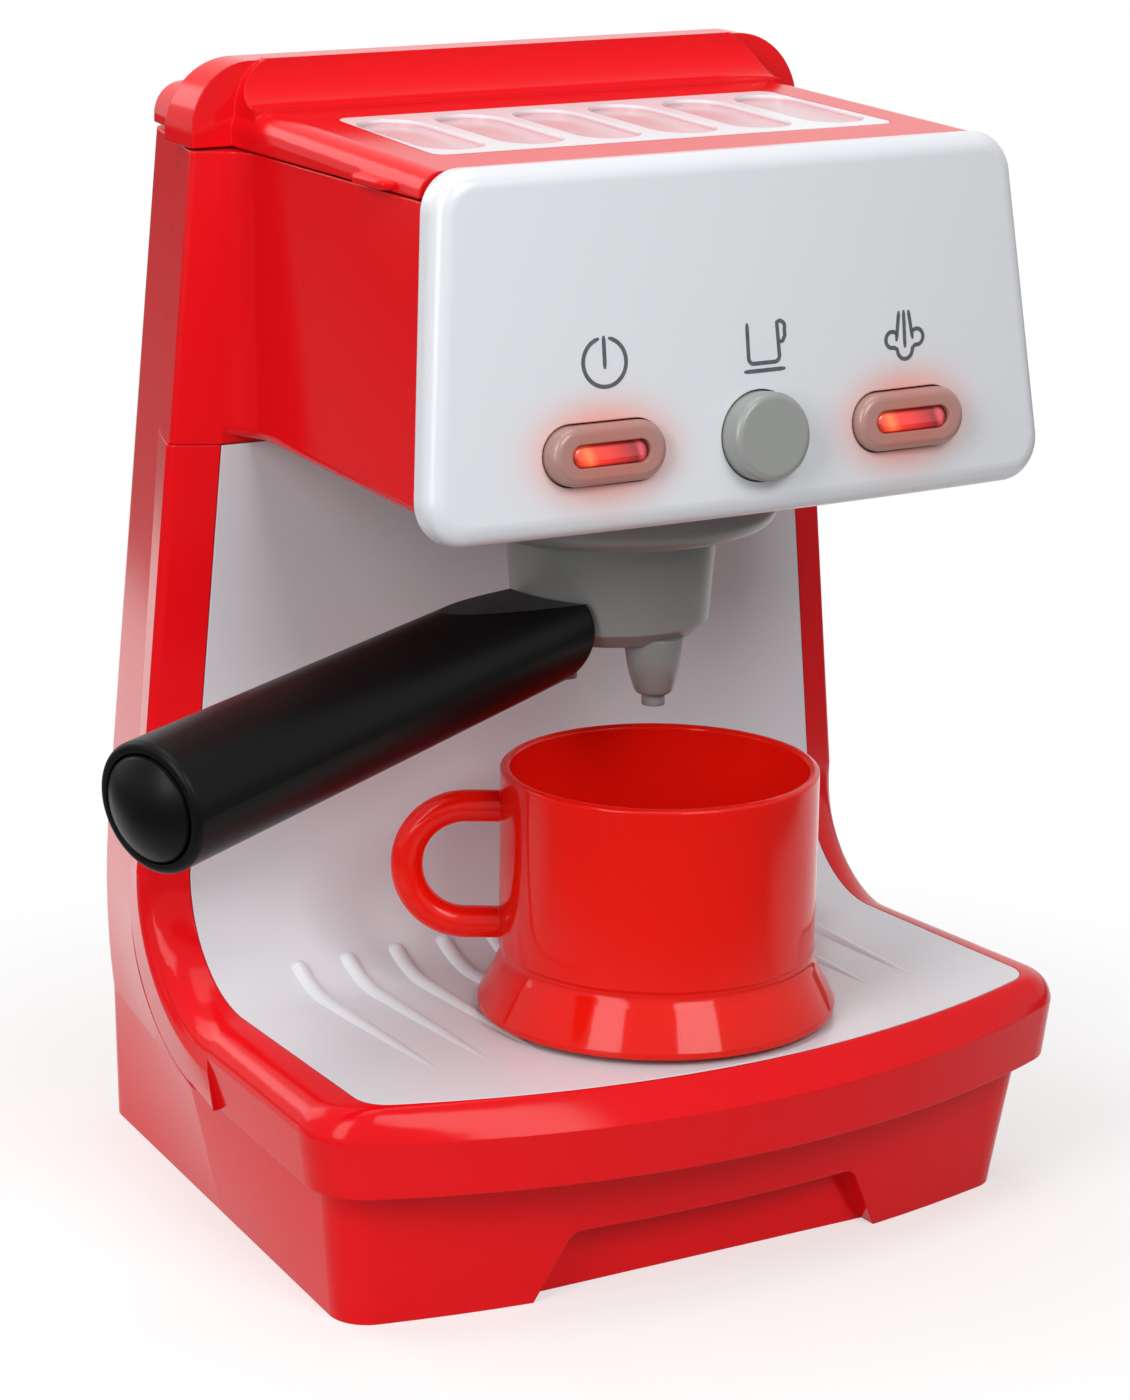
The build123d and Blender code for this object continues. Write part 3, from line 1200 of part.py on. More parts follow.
def battery_contacts():
    hx, hy = box_half()
    solids = []
    for i in range(CELL_COUNT):
        y = BOX_Y + (i - (CELL_COUNT - 1) / 2) * CELL_PITCH
        for side in (-1, 1):
            x = side * (hx - 0.3)
            plate = box_between((min(x, x + side * 0.3), y - 5, cell_z() - 5),
                                (max(x, x + side * 0.3), y + 5, cell_z() + 5))
            tip = side * (CELL_LONG / 2 + 0.15)
            plate += Pos((x + tip) / 2, y, cell_z()) * Rot(0, side * 90, 0) * Cone(
                3.4, 1.6, abs(x - tip))
            solids.append(plate)
    return Compound(children=solids)


def door_outline(grow, z):
    hx, hy = box_half()
    plate = Pos(0, BOX_Y, z) * RectangleRounded(2 * (hx + grow), 2 * (hy + grow), 2)
    ear = Pos(0, BOX_Y + hy + EAR_LONG / 2 - 1, z) * RectangleRounded(
        EAR_WIDE + 2 * grow, EAR_LONG + 2 * grow, 2)
    return plate + ear


def ear_screw_y():
    return BOX_Y + box_half()[1] + EAR_LONG - 6.0


def battery_door():
    door = extrude(door_outline(-0.3, DOOR_RAISE), DOOR_THICK)
    bore = Pos(0, ear_screw_y(), -1) * extrude(Circle(SCREW_R + 0.1), 6)
    grip = [box_between((-9, BOX_Y - 8 + 3 * i, DOOR_RAISE - 1), (9, BOX_Y - 7 + 3 * i,
                                                                   DOOR_RAISE + 0.5))
            for i in range(4)]
    sink = Pos(0, ear_screw_y(), DOOR_RAISE - 1) * extrude(Circle(SCREW_HEAD_R + 0.2), 1 + DOOR_SINK)
    door -= bore
    door -= sink
    for groove in grip:
        door -= groove
    return door


def door_screw_block():
    """Raised pad over the door's ear, with the boss for its screw."""
    y = ear_screw_y()
    back = BOX_Y + box_half()[1] + BOX_WALL + FIT
    pad = box_between((-EAR_WIDE / 2 - 2, back, 1.0), (EAR_WIDE / 2 + 2, y + 8, WALL + 2))
    boss = Pos(0, y, WALL) * extrude(Circle(BOSS_R), 9.5)
    hole = Pos(0, y, 0) * extrude(Circle(BOSS_HOLE_R), WALL + 8)
    return pad + boss - hole


def battery_door_screw():
    plane = Plane(origin=(0, ear_screw_y(), DOOR_RAISE + DOOR_SINK), x_dir=(1, 0, 0),
                  z_dir=(0, 0, -1))
    flat = extrude(Circle(SCREW_HEAD_R), DOOR_SINK - 0.1)
    return plane * (flat + Pos(0, 0, -8.5) * extrude(Circle(SCREW_R), 8.5))


SPEAKER_Z = 112.0
SPEAKER_R = 20.0
SPEAKER_DEEP = 4.0
SPEAKER_FACE = 1.2        # thickness of the basket behind the cone
SPEAKER_SCREW_OUT = 2.7   # screws just outside the frame
SPEAKER_SCREW_ANGLES = (0, 180)
MAGNET_R = 11.0
MAGNET_DEEP = 6.0


def back_plane(z, depth):
    """Plane inside the leaning back wall; Z of the plane points into the machine."""
    lean = math.atan(REAR_SLOPE)
    inward = Vector(0, -math.cos(lean), -math.sin(lean))
    origin = Vector(0, rear_y(z), z) + inward * depth
    return Plane(origin=origin, x_dir=(1, 0, 0), z_dir=inward)


def speaker_frame():
    ring = extrude(Circle(SPEAKER_R) - Circle(SPEAKER_R - 2.5), SPEAKER_DEEP)
    cup_wall = Pos(0, 0, SPEAKER_DEEP) * extrude(
        Circle(SPEAKER_R) - Circle(MAGNET_R - 2), SPEAKER_FACE)
    windows = [Rot(0, 0, 60 * i) * Pos(15, 0, SPEAKER_DEEP - 1) * extrude(
        Circle(2.4), 4) for i in range(6)]
    for window in windows:
        cup_wall -= window
    return back_plane(SPEAKER_Z, WALL + 0.05) * (ring + cup_wall)


def speaker_bosses():
    """Two screw bosses beside the loudspeaker, on the back wall."""
    bosses, holes = [], []
    for angle in SPEAKER_SCREW_ANGLES:
        place = Rot(0, 0, angle) * Pos(SPEAKER_R + SPEAKER_SCREW_OUT, 0, 0)
        wall = back_plane(SPEAKER_Z, WALL) * place
        bosses.append(wall * Pos(0, 0, -1) * extrude(Circle(2.6), SPEAKER_DEEP + SPEAKER_FACE + 1.05))
        holes.append(wall * extrude(Circle(BOSS_HOLE_R), SPEAKER_DEEP + 3))
    return bosses, holes


def speaker_cone():
    cone = Pos(0, 0, 1.5) * (Cone(SPEAKER_R - 2.8, 6, 2.2) - Pos(0, 0, -0.5) * Cone(
        SPEAKER_R - 3.4, 5.4, 2.2))
    return back_plane(SPEAKER_Z, WALL + 0.6) * (cone + Pos(0, 0, 1.9) * Cylinder(6.2, 1.0))


def speaker_magnet():
    magnet = Pos(0, 0, SPEAKER_DEEP + SPEAKER_FACE) * extrude(Circle(MAGNET_R), MAGNET_DEEP)
    magnet = fillet(magnet.edges().group_by(Axis.Z)[-1], 0.8)
    return back_plane(SPEAKER_Z, WALL + 0.05) * magnet


def speaker_holes():
    pitch = 5.0
    holes = []
    for ring in range(4):
        for i in range(max(1, 6 * ring)):
            corner, step = divmod(i, max(1, ring))
            a, b = math.radians(60 * corner), math.radians(60 * corner + 120)
            x = pitch * (ring * math.cos(a) + step * math.cos(b))
            y = pitch * (ring * math.sin(a) + step * math.sin(b))
            holes.append(Pos(x, y, -2) * Cylinder(1.3, 2 * WALL + 4))
    return [back_plane(SPEAKER_Z, 0) * hole for hole in holes]


# ---------------------------------------------------------------- wires
WIRE_R = 0.75
LEAD_SIDE = 22.0          # the battery leads leave beside the door's screw


def wire(points):
    """Round lead along straight runs joined by the largest arcs that fit."""
    points = [Vector(*p) for p in points]
    radii = []
    for before, at, after in zip(points, points[1:], points[2:]):
        turn = math.radians((at - before).get_angle(after - at))
        run = min((at - before).length, (after - at).length)
        radii.append(0.45 * run / math.tan(turn / 2))
    print("wire radii", [round(r, 1) for r in radii])
    path = FilletPolyline(*points, radius=radii)
    return sweep(Plane(origin=path @ 0, z_dir=path % 0) * Circle(WIRE_R), path=path)


def battery_lead(x, shift):
    hx, hy = box_half()
    board = face_plane(BOARD_OUT) * Pos(x * 0.8, 8, 0)
    end = board.position + Vector(0, WIRE_R + 0.1, 0)
    return wire([(x, BOX_Y + hy + BOX_WALL + 2 * FIT, cell_z()),
                 (x + 2, BOX_Y + hy + 12, cell_z() + 3),
                 (x + 4 + shift, 52, 40), (x + 1, 53 + shift, 84), (x + 3, 51, 130),
                 (x, 45 + shift, 165), (x - 3, 22, 178), (x + 1, -8, 182 + shift),
                 (x * 0.8 + 1, -32, 182), (end.X, end.Y, end.Z)])


def speaker_lead(x, shift):
    magnet = back_plane(SPEAKER_Z, WALL + SPEAKER_DEEP + 1.4 + 0.3) * Pos(x, -15, 0)
    start = magnet.position
    board = face_plane(BOARD_OUT) * Pos(x * 1.6, 6, 0)
    end = board.position + Vector(0, WIRE_R + 0.1, 0)
    return wire([(start.X, start.Y, start.Z), (x + 1, start.Y - 9, start.Z + 4),
                 (x + 3, start.Y - 13, start.Z + 30), (x + 6, 46 + shift, 162),
                 (x + 3, 24, 175), (x + 8, -6, 179 + shift), (x * 1.6 - 1, -30, 179),
                 (end.X, end.Y, end.Z)])


# ---------------------------------------------------------------- screws and bosses
CASE_SCREW_X = 52.0
CASE_SCREW_Z = (96.0, 200.0)
BOSS_R = 4.2
BOSS_HOLE_R = SCREW_R + SHAFT_RUN
BOSS_FLOOR = 3.0          # material under a screw's head
BASE_SCREWS = [(72.0, -30.0), (68.3, 4.0)]
BASE_SCREW_Z = 16.0       # level of the screw heads' seats
POST_GAP = 0.15
GROUP_SCREW_X = 28.5


def mirrored_places(places):
    return [(side * x, y) for x, y in places for side in (-1, 1)]


def case_screw_places():
    return [(side * CASE_SCREW_X, z) for z in CASE_SCREW_Z for side in (-1, 1)]


def along_y(x, z, y_from, y_to, radius):
    return rod(radius, (x, y_from, z), (x, y_to, z))


def rear_bosses():
    """Tubes from the back wall to the seam for the case screws."""
    tubes, wells = [], []
    for x, z in case_screw_places():
        tubes.append(along_y(x, z, SEAM_Y + POST_GAP, rear_y(z) - 1.5, BOSS_R))
        wells.append(along_y(x, z, SEAM_Y + BOSS_FLOOR, rear_y(z) + 5, SCREW_HEAD_R + 0.4))
        wells.append(along_y(x, z, SEAM_Y - 1, SEAM_Y + BOSS_FLOOR + 1, SCREW_R + 0.2))
    bosses, holes = speaker_bosses()
    tubes += bosses
    wells += holes
    for x, y in mirrored_places(BASE_SCREWS):
        tubes.append(rod(BOSS_R, (x, y, 0), (x, y, BASE_SCREW_Z + BOSS_FLOOR)))
        wells.append(rod(SCREW_HEAD_R + 0.4, (x, y, -1), (x, y, BASE_SCREW_Z)))
        wells.append(rod(SCREW_R + 0.2, (x, y, 0), (x, y, BASE_SCREW_Z + BOSS_FLOOR + 1)))
    return tubes, wells


def front_bosses(z):
    """Solid posts in front of the seam with a web to the side wall, and their holes."""
    posts, holes = [], []
    for x, place in case_screw_places():
        if place != z:
            continue
        side = 1 if x > 0 else -1
        posts.append(along_y(x, z, SEAM_Y - 12, SEAM_Y - POST_GAP, BOSS_R))
        edge = side * (at_height(z, SEAM_HALF_LOW, SEAM_HALF_TOP) - 1.2)
        posts.append(box_between((min(x, edge), SEAM_Y - 11.5, z - 1.2),
                                 (max(x, edge), SEAM_Y - 1.5, z + 1.2)))
        holes.append(along_y(x, z, SEAM_Y - 10.5, SEAM_Y + 1, BOSS_HOLE_R))
    return posts, holes


def base_posts():
    posts, holes = [], []
    low = BASE_SCREW_Z + BOSS_FLOOR + POST_GAP
    for x, y in mirrored_places(BASE_SCREWS):
        posts.append(rod(3.6, (x, y, low), (x, y, PLATE - WALL - 1.2)))
        holes.append(rod(BOSS_HOLE_R, (x, y, low - 1), (x, y, low + 9)))
        near, far = abs(x), SEAM_HALF_LOW - 1
        web = box_between((near, y - 1.3, RIM_LOW + WALL), (far, y + 1.3, PLATE - 10))
        posts.append(web if x > 0 else mirror(web, about=Plane.YZ))
    return posts, holes


def case_screws():
    seat = SEAM_Y + BOSS_FLOOR
    return Compound(children=[screw(Plane(origin=(x, seat, z), x_dir=(1, 0, 0),
                                          z_dir=(0, 1, 0)), 12.0)
                              for x, z in case_screw_places()])


def base_screws():
    return Compound(children=[screw(Plane(origin=(x, y, BASE_SCREW_Z), x_dir=(1, 0, 0),
                                          z_dir=(0, 0, -1)), 11.0)
                              for x, y in mirrored_places(BASE_SCREWS)])


def group_head_screws():
    return Compound(children=[screw(Plane(origin=(x, GROUP_Y, HEAD_LOW + WALL)), 9.0)
                              for x in (-GROUP_SCREW_X, GROUP_SCREW_X)])


def handle_screw():
    return screw(handle_plane(HANDLE_START + HANDLE_SEAT), HANDLE_SEAT - 1)


def lid_hinge_pins():
    y, z = hinge_centre()
    reach = KNUCKLE / 2 + KNUCKLE_GAP + SHELL_KNUCKLE
    return Compound(children=[rod(HINGE_PIN_R, (side * HINGE_X - reach, y, z),
                                  (side * HINGE_X + reach, y, z)) for side in (-1, 1)])


def group_seal():
    base = BODY_TOP_Z + RUN
    ring = extrude(Circle(BODY_R) - Circle(BODY_R - 4), CHAMBER_TOP - base)
    return Pos(0, GROUP_Y, base) * ring


def speaker_screws():
    solids = []
    for angle in SPEAKER_SCREW_ANGLES:
        place = Rot(0, 0, angle) * Pos(SPEAKER_R + SPEAKER_SCREW_OUT, 0, 0)
        seat = back_plane(SPEAKER_Z, WALL) * place * Pos(0, 0, SPEAKER_DEEP + SPEAKER_FACE + 0.1)
        solids.append(seat * screw(Plane.XY, 5.0))
    return Compound(children=solids)


def build():
    casing = [
        ("rear_shell", rear_shell), ("front_shell", front_shell), ("splash_panel", splash_panel),
        ("head_housing", head_housing), ("fascia", fascia), ("group_head", group_head),
        ("group_seal", group_seal), ("group_head_screws", group_head_screws),
        ("button_carrier", button_carrier), ("carrier_screws", carrier_screws),
        ("circuit_board", circuit_board), ("board_screws", board_screws),
        ("tact_switches", tact_switches), ("button_lamps", button_lamps),
        ("sound_chip", sound_chip), ("battery_box", battery_box), ("batteries", batteries),
        ("battery_contacts", battery_contacts), ("battery_door", battery_door),
        ("battery_door_screw", battery_door_screw), ("speaker_frame", speaker_frame),
        ("speaker_cone", speaker_cone), ("speaker_magnet", speaker_magnet),
        ("speaker_screws", speaker_screws), ("case_screws", case_screws),
        ("base_screws", base_screws), ("lid_hinge_pins", lid_hinge_pins),
    ]
    moving = [
        ("lid_cover", lid_cover), ("cup_warmer_grille", cup_warmer_grille),
        ("portafilter_body", portafilter_body), ("portafilter_handle", portafilter_handle),
        ("handle_end_cap", handle_end_cap), ("portafilter_screw", handle_screw), ("cup", cup),
        ("brew_button", round_button),
    ]
    for node, make in casing + moving:
        keep(make(), node)
    springs = ["power_spring", "brew_spring", "steam_spring"]
    for node, (x, flange_out) in zip(springs, button_places()):
        keep(button_spring(x, flange_out), node)
    for name, side in (("power", -1), ("steam", 1)):
        keep(oval_button(side), f"{name}_button")
        keep(button_lens(side), f"{name}_button_lens")
    for name, x, shift in (("red", -4.0, 0.0), ("black", 4.0, 2.0)):
        keep(battery_lead(x + LEAD_SIDE, shift), f"battery_lead_{name}")
        keep(speaker_lead(x, shift), f"speaker_lead_{name}")


build()
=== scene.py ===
import json
import math

import bmesh
import bpy
from mathutils import Matrix, Vector

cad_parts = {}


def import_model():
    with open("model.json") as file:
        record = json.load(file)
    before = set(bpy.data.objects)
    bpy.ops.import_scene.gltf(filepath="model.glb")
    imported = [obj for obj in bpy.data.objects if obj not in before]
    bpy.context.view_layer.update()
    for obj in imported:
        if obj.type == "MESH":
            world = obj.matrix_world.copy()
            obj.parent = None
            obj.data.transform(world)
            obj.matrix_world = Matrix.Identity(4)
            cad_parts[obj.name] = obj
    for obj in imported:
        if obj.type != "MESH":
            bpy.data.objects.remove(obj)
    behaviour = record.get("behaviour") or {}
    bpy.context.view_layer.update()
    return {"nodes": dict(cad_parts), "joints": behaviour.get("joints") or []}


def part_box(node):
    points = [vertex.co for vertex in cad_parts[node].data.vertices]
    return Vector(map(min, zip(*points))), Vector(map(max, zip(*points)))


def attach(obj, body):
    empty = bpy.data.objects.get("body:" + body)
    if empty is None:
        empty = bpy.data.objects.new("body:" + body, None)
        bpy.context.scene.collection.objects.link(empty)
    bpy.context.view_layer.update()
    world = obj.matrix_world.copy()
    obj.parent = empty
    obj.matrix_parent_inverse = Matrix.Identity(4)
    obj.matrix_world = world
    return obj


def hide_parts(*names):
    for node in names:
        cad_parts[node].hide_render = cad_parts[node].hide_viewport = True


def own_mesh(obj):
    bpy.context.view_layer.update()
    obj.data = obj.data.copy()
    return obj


# Toy coffee maker: the looks. Metres, X to its right, Y to the back, Z up.

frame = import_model()
nodes = frame["nodes"]

MM = 0.001

CAMERA_TURN = math.radians(-31.55)
CAMERA_RISE = math.radians(15.25)
CAMERA_ROLL = math.radians(0.72)
CAMERA_FAR = 0.8714
CAMERA_AIM = Vector((0, 0, 0.1041))
FOCAL_PIXELS = 4211
IMAGE_HIGH = 1400
SENSOR = 36.0


# ---------------------------------------------------------------- shader maths
class Wire:
    """One output socket; its arithmetic adds Math nodes."""

    def __init__(self, sheet, socket):
        self.sheet = sheet
        self.socket = socket

    def math(self, operation, *others):
        return self.sheet.node("ShaderNodeMath", {"operation": operation}, [self, *others])

    def __add__(self, other):
        return self.math("ADD", other)

    def __sub__(self, other):
        return self.math("SUBTRACT", other)

    def __mul__(self, other):
        return self.math("MULTIPLY", other)

    def __truediv__(self, other):
        return self.math("DIVIDE", other)

    def __rsub__(self, other):
        return self.sheet.node("ShaderNodeMath", {"operation": "SUBTRACT"}, [other, self])

    __radd__ = __add__

    def power(self, other):
        return self.math("POWER", other)

    def most(self, other):
        return self.math("MAXIMUM", other)

    def size(self):
        return self.math("ABSOLUTE")

    def root(self):
        return self.math("SQRT")

    def step(self, low, high):
        """0 below low and 1 above high, smooth between."""
        return self.sheet.node("ShaderNodeMapRange", {"interpolation_type": "SMOOTHSTEP"},
                               {"Value": self, "From Min": low, "From Max": high})


class Sheet:
    """A material under construction."""

    def __init__(self, name):
        self.material = bpy.data.materials.new(name)
        self.material.use_nodes = True
        self.tree = self.material.node_tree
        self.shader = self.tree.nodes["Principled BSDF"]
        coords = self.tree.nodes.new("ShaderNodeTexCoord")
        self.place = Wire(self, coords.outputs["Object"])

    def node(self, kind, settings=None, values=None, output=0):
        made = self.tree.nodes.new(kind)
        for name, value in (settings or {}).items():
            if name == "stops":
                self.ramp(made, value)
            else:
                setattr(made, name, value)
        pairs = values.items() if isinstance(values, dict) else enumerate(values or [])
        for key, value in pairs:
            self.link(value, made.inputs[key])
        return Wire(self, made.outputs[output])

    def ramp(self, made, stops):
        elements = made.color_ramp.elements
        while len(elements) < len(stops):
            elements.new(0.5)
        for element, (position, colour) in zip(elements, stops):
            element.position = position
            element.color = (*colour, 1.0)

    def link(self, value, socket):
        if isinstance(value, Wire):
            self.tree.links.new(value.socket, socket)
        else:
            socket.default_value = value

    def set(self, **values):
        """Sockets of the Principled shader, with _ for a space in the name."""
        for name, value in values.items():
            self.link(value, self.shader.inputs[name.replace("_", " ")])

    def axes(self):
        apart = self.tree.nodes.new("ShaderNodeSeparateXYZ")
        self.link(self.place, apart.inputs[0])
        return [Wire(self, apart.outputs[i]) for i in range(3)]

    def noise(self, scale, detail=2.0, rough=0.5):
        return self.node("ShaderNodeTexNoise", {}, {
            "Vector": self.place, "Scale": scale, "Detail": detail, "Roughness": rough})

    def mix(self, share, low, high):
        made = self.tree.nodes.new("ShaderNodeMix")
        made.data_type = "RGBA"
        self.link(share, made.inputs[0])
        self.link(low, made.inputs[6])
        self.link(high, made.inputs[7])
        return Wire(self, made.outputs[2])

    def bump(self, height, strength, distance, under=None):
        values = {"Height": height, "Strength": strength, "Distance": distance}
        if under is not None:
            values["Normal"] = under
        return self.node("ShaderNodeBump", {}, values)

    def tint(self, share, tone):
        """Lays a tone over the base colour."""
        under = Wire(self, self.shader.inputs["Base Color"].links[0].from_socket)
        self.set(Base_Color=self.mix(share, under, tone))

    def soft_edges(self, radius):
        return self.node("ShaderNodeBevel", {"samples": 6}, {"Radius": radius})


def colour(red, green, blue):
    """Linear colour from the usual 0-255 values."""
    def linear(value):
        share = value / 255
        return share / 12.92 if share < 0.04045 else ((share + 0.055) / 1.055) ** 2.4
    return (linear(red), linear(green), linear(blue), 1.0)


# ---------------------------------------------------------------- finishes
def moulded(name, base, rough, peel=0.02, edge=0.35, shade=0.03, grain=0.0):
    """Injection-moulded plastic: faint flow marks, handling haze and softened edges."""
    sheet = Sheet(name)
    flow = sheet.noise(6.0, 2.0)
    dark = tuple(channel * (1 - shade) for channel in base[:3]) + (1.0,)
    haze = sheet.noise(26.0, 3.0, 0.6).step(0.45, 0.8)
    orange_peel = sheet.noise(170.0, 1.0)
    bend = sheet.bump(orange_peel, peel, 0.0004, sheet.soft_edges(edge * MM))
    if grain:
        bend = sheet.bump(sheet.noise(2600.0, 2.0), grain, 0.00008, bend)
    sheet.set(Base_Color=sheet.mix(flow.step(0.3, 0.7), dark, base),
              Roughness=rough + haze * 0.025, Normal=bend, IOR=1.5)
    return sheet


def red_casing():
    sheet = moulded("red_casing", colour(224, 15, 23), 0.14, peel=0.025, edge=0.5)
    sheet.set(Specular_IOR_Level=0.13)
    return sheet.material


GLOW_WHITE = colour(240, 132, 106)    # a white face in the lamp's light
GLOW_GREY = colour(186, 108, 94)      # and a grey button
HALO_SQUEEZE = 0.66                   # sideways distances count less, as the lamp is wide


def white_casing(name, lamps=()):
    sheet = moulded(name, colour(219, 221, 226), 0.24, peel=0.012, edge=0.4, shade=0.012)
    for lamp in lamps:
        halo(sheet, lamp, GLOW_WHITE, 0.0155, 0.92)
    return sheet.material


def halo(sheet, centre, tint, reach, strength):
    """Tint that a lit window throws on the surface round it."""
    along, _, up = sheet.axes()
    side = (along - centre[0]) * HALO_SQUEEZE
    rise = up - centre[2]
    distance = (side * side + rise * rise).root()
    glow = (1.0 - distance.step(0.002, reach)).power(1.3) * strength
    sheet.tint(glow, tint)


LENS_LONG = 0.0168
LENS_HALF_HIGH = 0.0022
# Slant of the painted bright streak.
PAINTED_STREAK_SLANT = 22.0                   # the bright streak leans along the window
# Painted light and shade along the window: a bright streak near the left end fading to the right,
# dark ends, and a pinkish highlight near the right end.
PAINTED_WINDOW_LIGHT_STOPS = [
    (0.03, (0.16, 0.006, 0.005)), (0.14, (0.85, 0.06, 0.02)), (0.24, (1.0, 0.17, 0.05)),
    (0.36, (0.80, 0.035, 0.02)), (0.66, (0.52, 0.016, 0.018)), (0.86, (0.22, 0.012, 0.013)),
    (0.93, (0.62, 0.06, 0.08)), (1.0, (0.16, 0.01, 0.01))]


def lit_window():
    """Glowing translucent red window. Its colour and glow hold a painted bright streak near the
    left end, a painted pinkish highlight near the right end, and painted shade at both ends and
    along the top and bottom edges.
    """
    sheet = Sheet("lit_window")
    along, _, up = sheet.axes()
    share = (along - along.math("SIGN") * LENS_X) / LENS_LONG + 0.5
    streak = share + (up - LENS_Z) * PAINTED_STREAK_SLANT + sheet.noise(300.0, 2.0) * 0.06
    glow = sheet.node("ShaderNodeValToRGB", {"stops": PAINTED_WINDOW_LIGHT_STOPS}, {"Fac": streak})
    # Painted shade: the window darkens towards its top and bottom edges.
    painted_edge_shading = 1.0 - ((up - LENS_Z) / LENS_HALF_HIGH).power(2.0).step(0.25, 1.0) * 0.7
    lit = sheet.mix(painted_edge_shading, (0.10, 0.004, 0.004, 1), glow)
    sheet.set(Base_Color=lit, Roughness=0.1, Coat_Weight=0.5, Emission_Color=lit,
              Emission_Strength=0.55)
    return sheet.material


def warmer_plastic():
    """White bars; below the bar tops, the floors of the warmer's shallow pockets get a painted
    pinkish shade.
    """
    sheet = moulded("white_warmer", colour(224, 225, 229), 0.2, peel=0.012, edge=0.3, shade=0.012)
    _, deep, up = sheet.axes()
    low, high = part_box("cup_warmer_grille")
    fall = (WARMER_TOP[1] - WARMER_TOP[0]) / (high[1] - low[1])
    below = (deep - low[1]) * fall + WARMER_TOP[0] - up
    # Painted shade: a darker, pinker tone on the pocket floors below the bar tops.
    sheet.tint(below.step(0.0003, 0.0008), colour(214, 176, 180))
    return sheet.material


def cup_plastic():
    """Bright translucent plastic: light passes into it, so the thin walls glow."""
    sheet = Sheet("cup_plastic")
    swirl = sheet.noise(12.0, 2.0)
    peel = sheet.noise(200.0, 1.0)
    sheet.set(Base_Color=sheet.mix(swirl.step(0.3, 0.7), colour(240, 20, 10), colour(247, 30, 14)),
              Roughness=0.08 + sheet.noise(30.0, 3.0, 0.6).step(0.5, 0.85) * 0.03,
              Specular_IOR_Level=0.2, Subsurface_Weight=0.7,
              Subsurface_Radius=(0.014, 0.0016, 0.0008), Subsurface_Scale=1.0,
              Normal=sheet.bump(peel, 0.015, 0.0003, sheet.soft_edges(0.5 * MM)))
    return sheet.material


def grip_plastic():
    sheet = moulded("grip_plastic", colour(13, 13, 14), 0.34, peel=0.05, edge=0.6, grain=0.1)
    sheet.set(Specular_IOR_Level=0.1)
    return sheet.material


def metal(name, base, rough, brushed=0.0):
    sheet = Sheet(name)
    streak = sheet.noise(700.0, 3.0)
    worn = sheet.noise(120.0, 3.0)
    normal = sheet.bump(streak, 0.05 + brushed, 0.0001, sheet.soft_edges(0.15 * MM))
    dull = tuple(channel * 0.8 for channel in base[:3]) + (1,)
    sheet.set(Base_Color=sheet.mix(worn.step(0.3, 0.7), base, dull), Metallic=1.0,
              Roughness=rough + streak * 0.12, Normal=normal)
    return sheet.material


BOARD_GRID = 900.0
CELL_BAND = 0.012                     # where the light band of a cell starts


def board_lacquer():
    sheet = Sheet("board_lacquer")
    along, _, up = sheet.axes()
    grid = ((along * BOARD_GRID).math("SINE") * (up * BOARD_GRID).math("SINE")).step(0.55, 0.62)
    sheet.set(Base_Color=sheet.mix(grid, (0.012, 0.10, 0.035, 1), (0.03, 0.2, 0.07, 1)),
              Roughness=0.3, Coat_Weight=0.5)
    return sheet.material


def cell_sleeve():
    """Plain battery sleeve: dark with a light band at one end."""
    sheet = Sheet("cell_sleeve")
    along, _, _ = sheet.axes()
    band = along.step(CELL_BAND, CELL_BAND + 0.0005)
    sheet.set(Base_Color=sheet.mix(band, (0.03, 0.03, 0.035, 1), (0.45, 0.30, 0.08, 1)),
              Roughness=0.25 + sheet.noise(200.0) * 0.1)
    return sheet.material


def cone_paper():
    sheet = Sheet("cone_paper")
    fibre = sheet.noise(900.0, 4.0, 0.7)
    dark, pale = (0.02, 0.02, 0.02, 1), (0.06, 0.06, 0.055, 1)
    sheet.set(Base_Color=sheet.mix(fibre.step(0.3, 0.7), dark, pale), Roughness=0.85,
              Normal=sheet.bump(fibre, 0.3, 0.0002))
    return sheet.material


def print_ink():
    sheet = Sheet("print_ink")
    patch = sheet.noise(800.0, 2.0)
    sheet.set(Base_Color=sheet.mix(patch.step(0.3, 0.7), colour(74, 77, 82), colour(86, 89, 94)),
              Roughness=0.42)
    return sheet.material


lens_low, lens_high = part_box("power_button_lens")
LENS_X = abs(lens_low[0] + lens_high[0]) / 2
LENS_Z = (lens_low[2] + lens_high[2]) / 2
LAMPS = [(side * LENS_X, lens_low[1], LENS_Z) for side in (-1, 1)]


def top_at(node, deep):
    """Height of a node's upper surface on the middle line."""
    hit, place, _, _ = nodes[node].ray_cast(Vector((0, deep, 0.3)), Vector((0, 0, -1)))
    assert hit
    return place.z


warmer_low, warmer_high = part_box("cup_warmer_grille")
WARMER_TOP = [top_at("cup_warmer_grille", deep)
              for deep in (warmer_low[1] + 0.002, warmer_high[1] - 0.002)]


# ---------------------------------------------------------------- printed symbols
LINE_WIDE = 0.00078
INK_HIGH = 0.00006
INK_SUNK = 0.00010
END_WIDE = 0.55            # a line's end is this share of its width
END_PAST = 0.18            # and runs past its last point by this share


def bow(centre_u, centre_v, radius, start, end, steps=14):
    """Points of an arc in the face's own plane, in mm."""
    turns = [math.radians(start + (end - start) * i / steps) for i in range(steps + 1)]
    return [(centre_u + radius * math.cos(t), centre_v + radius * math.sin(t)) for t in turns]


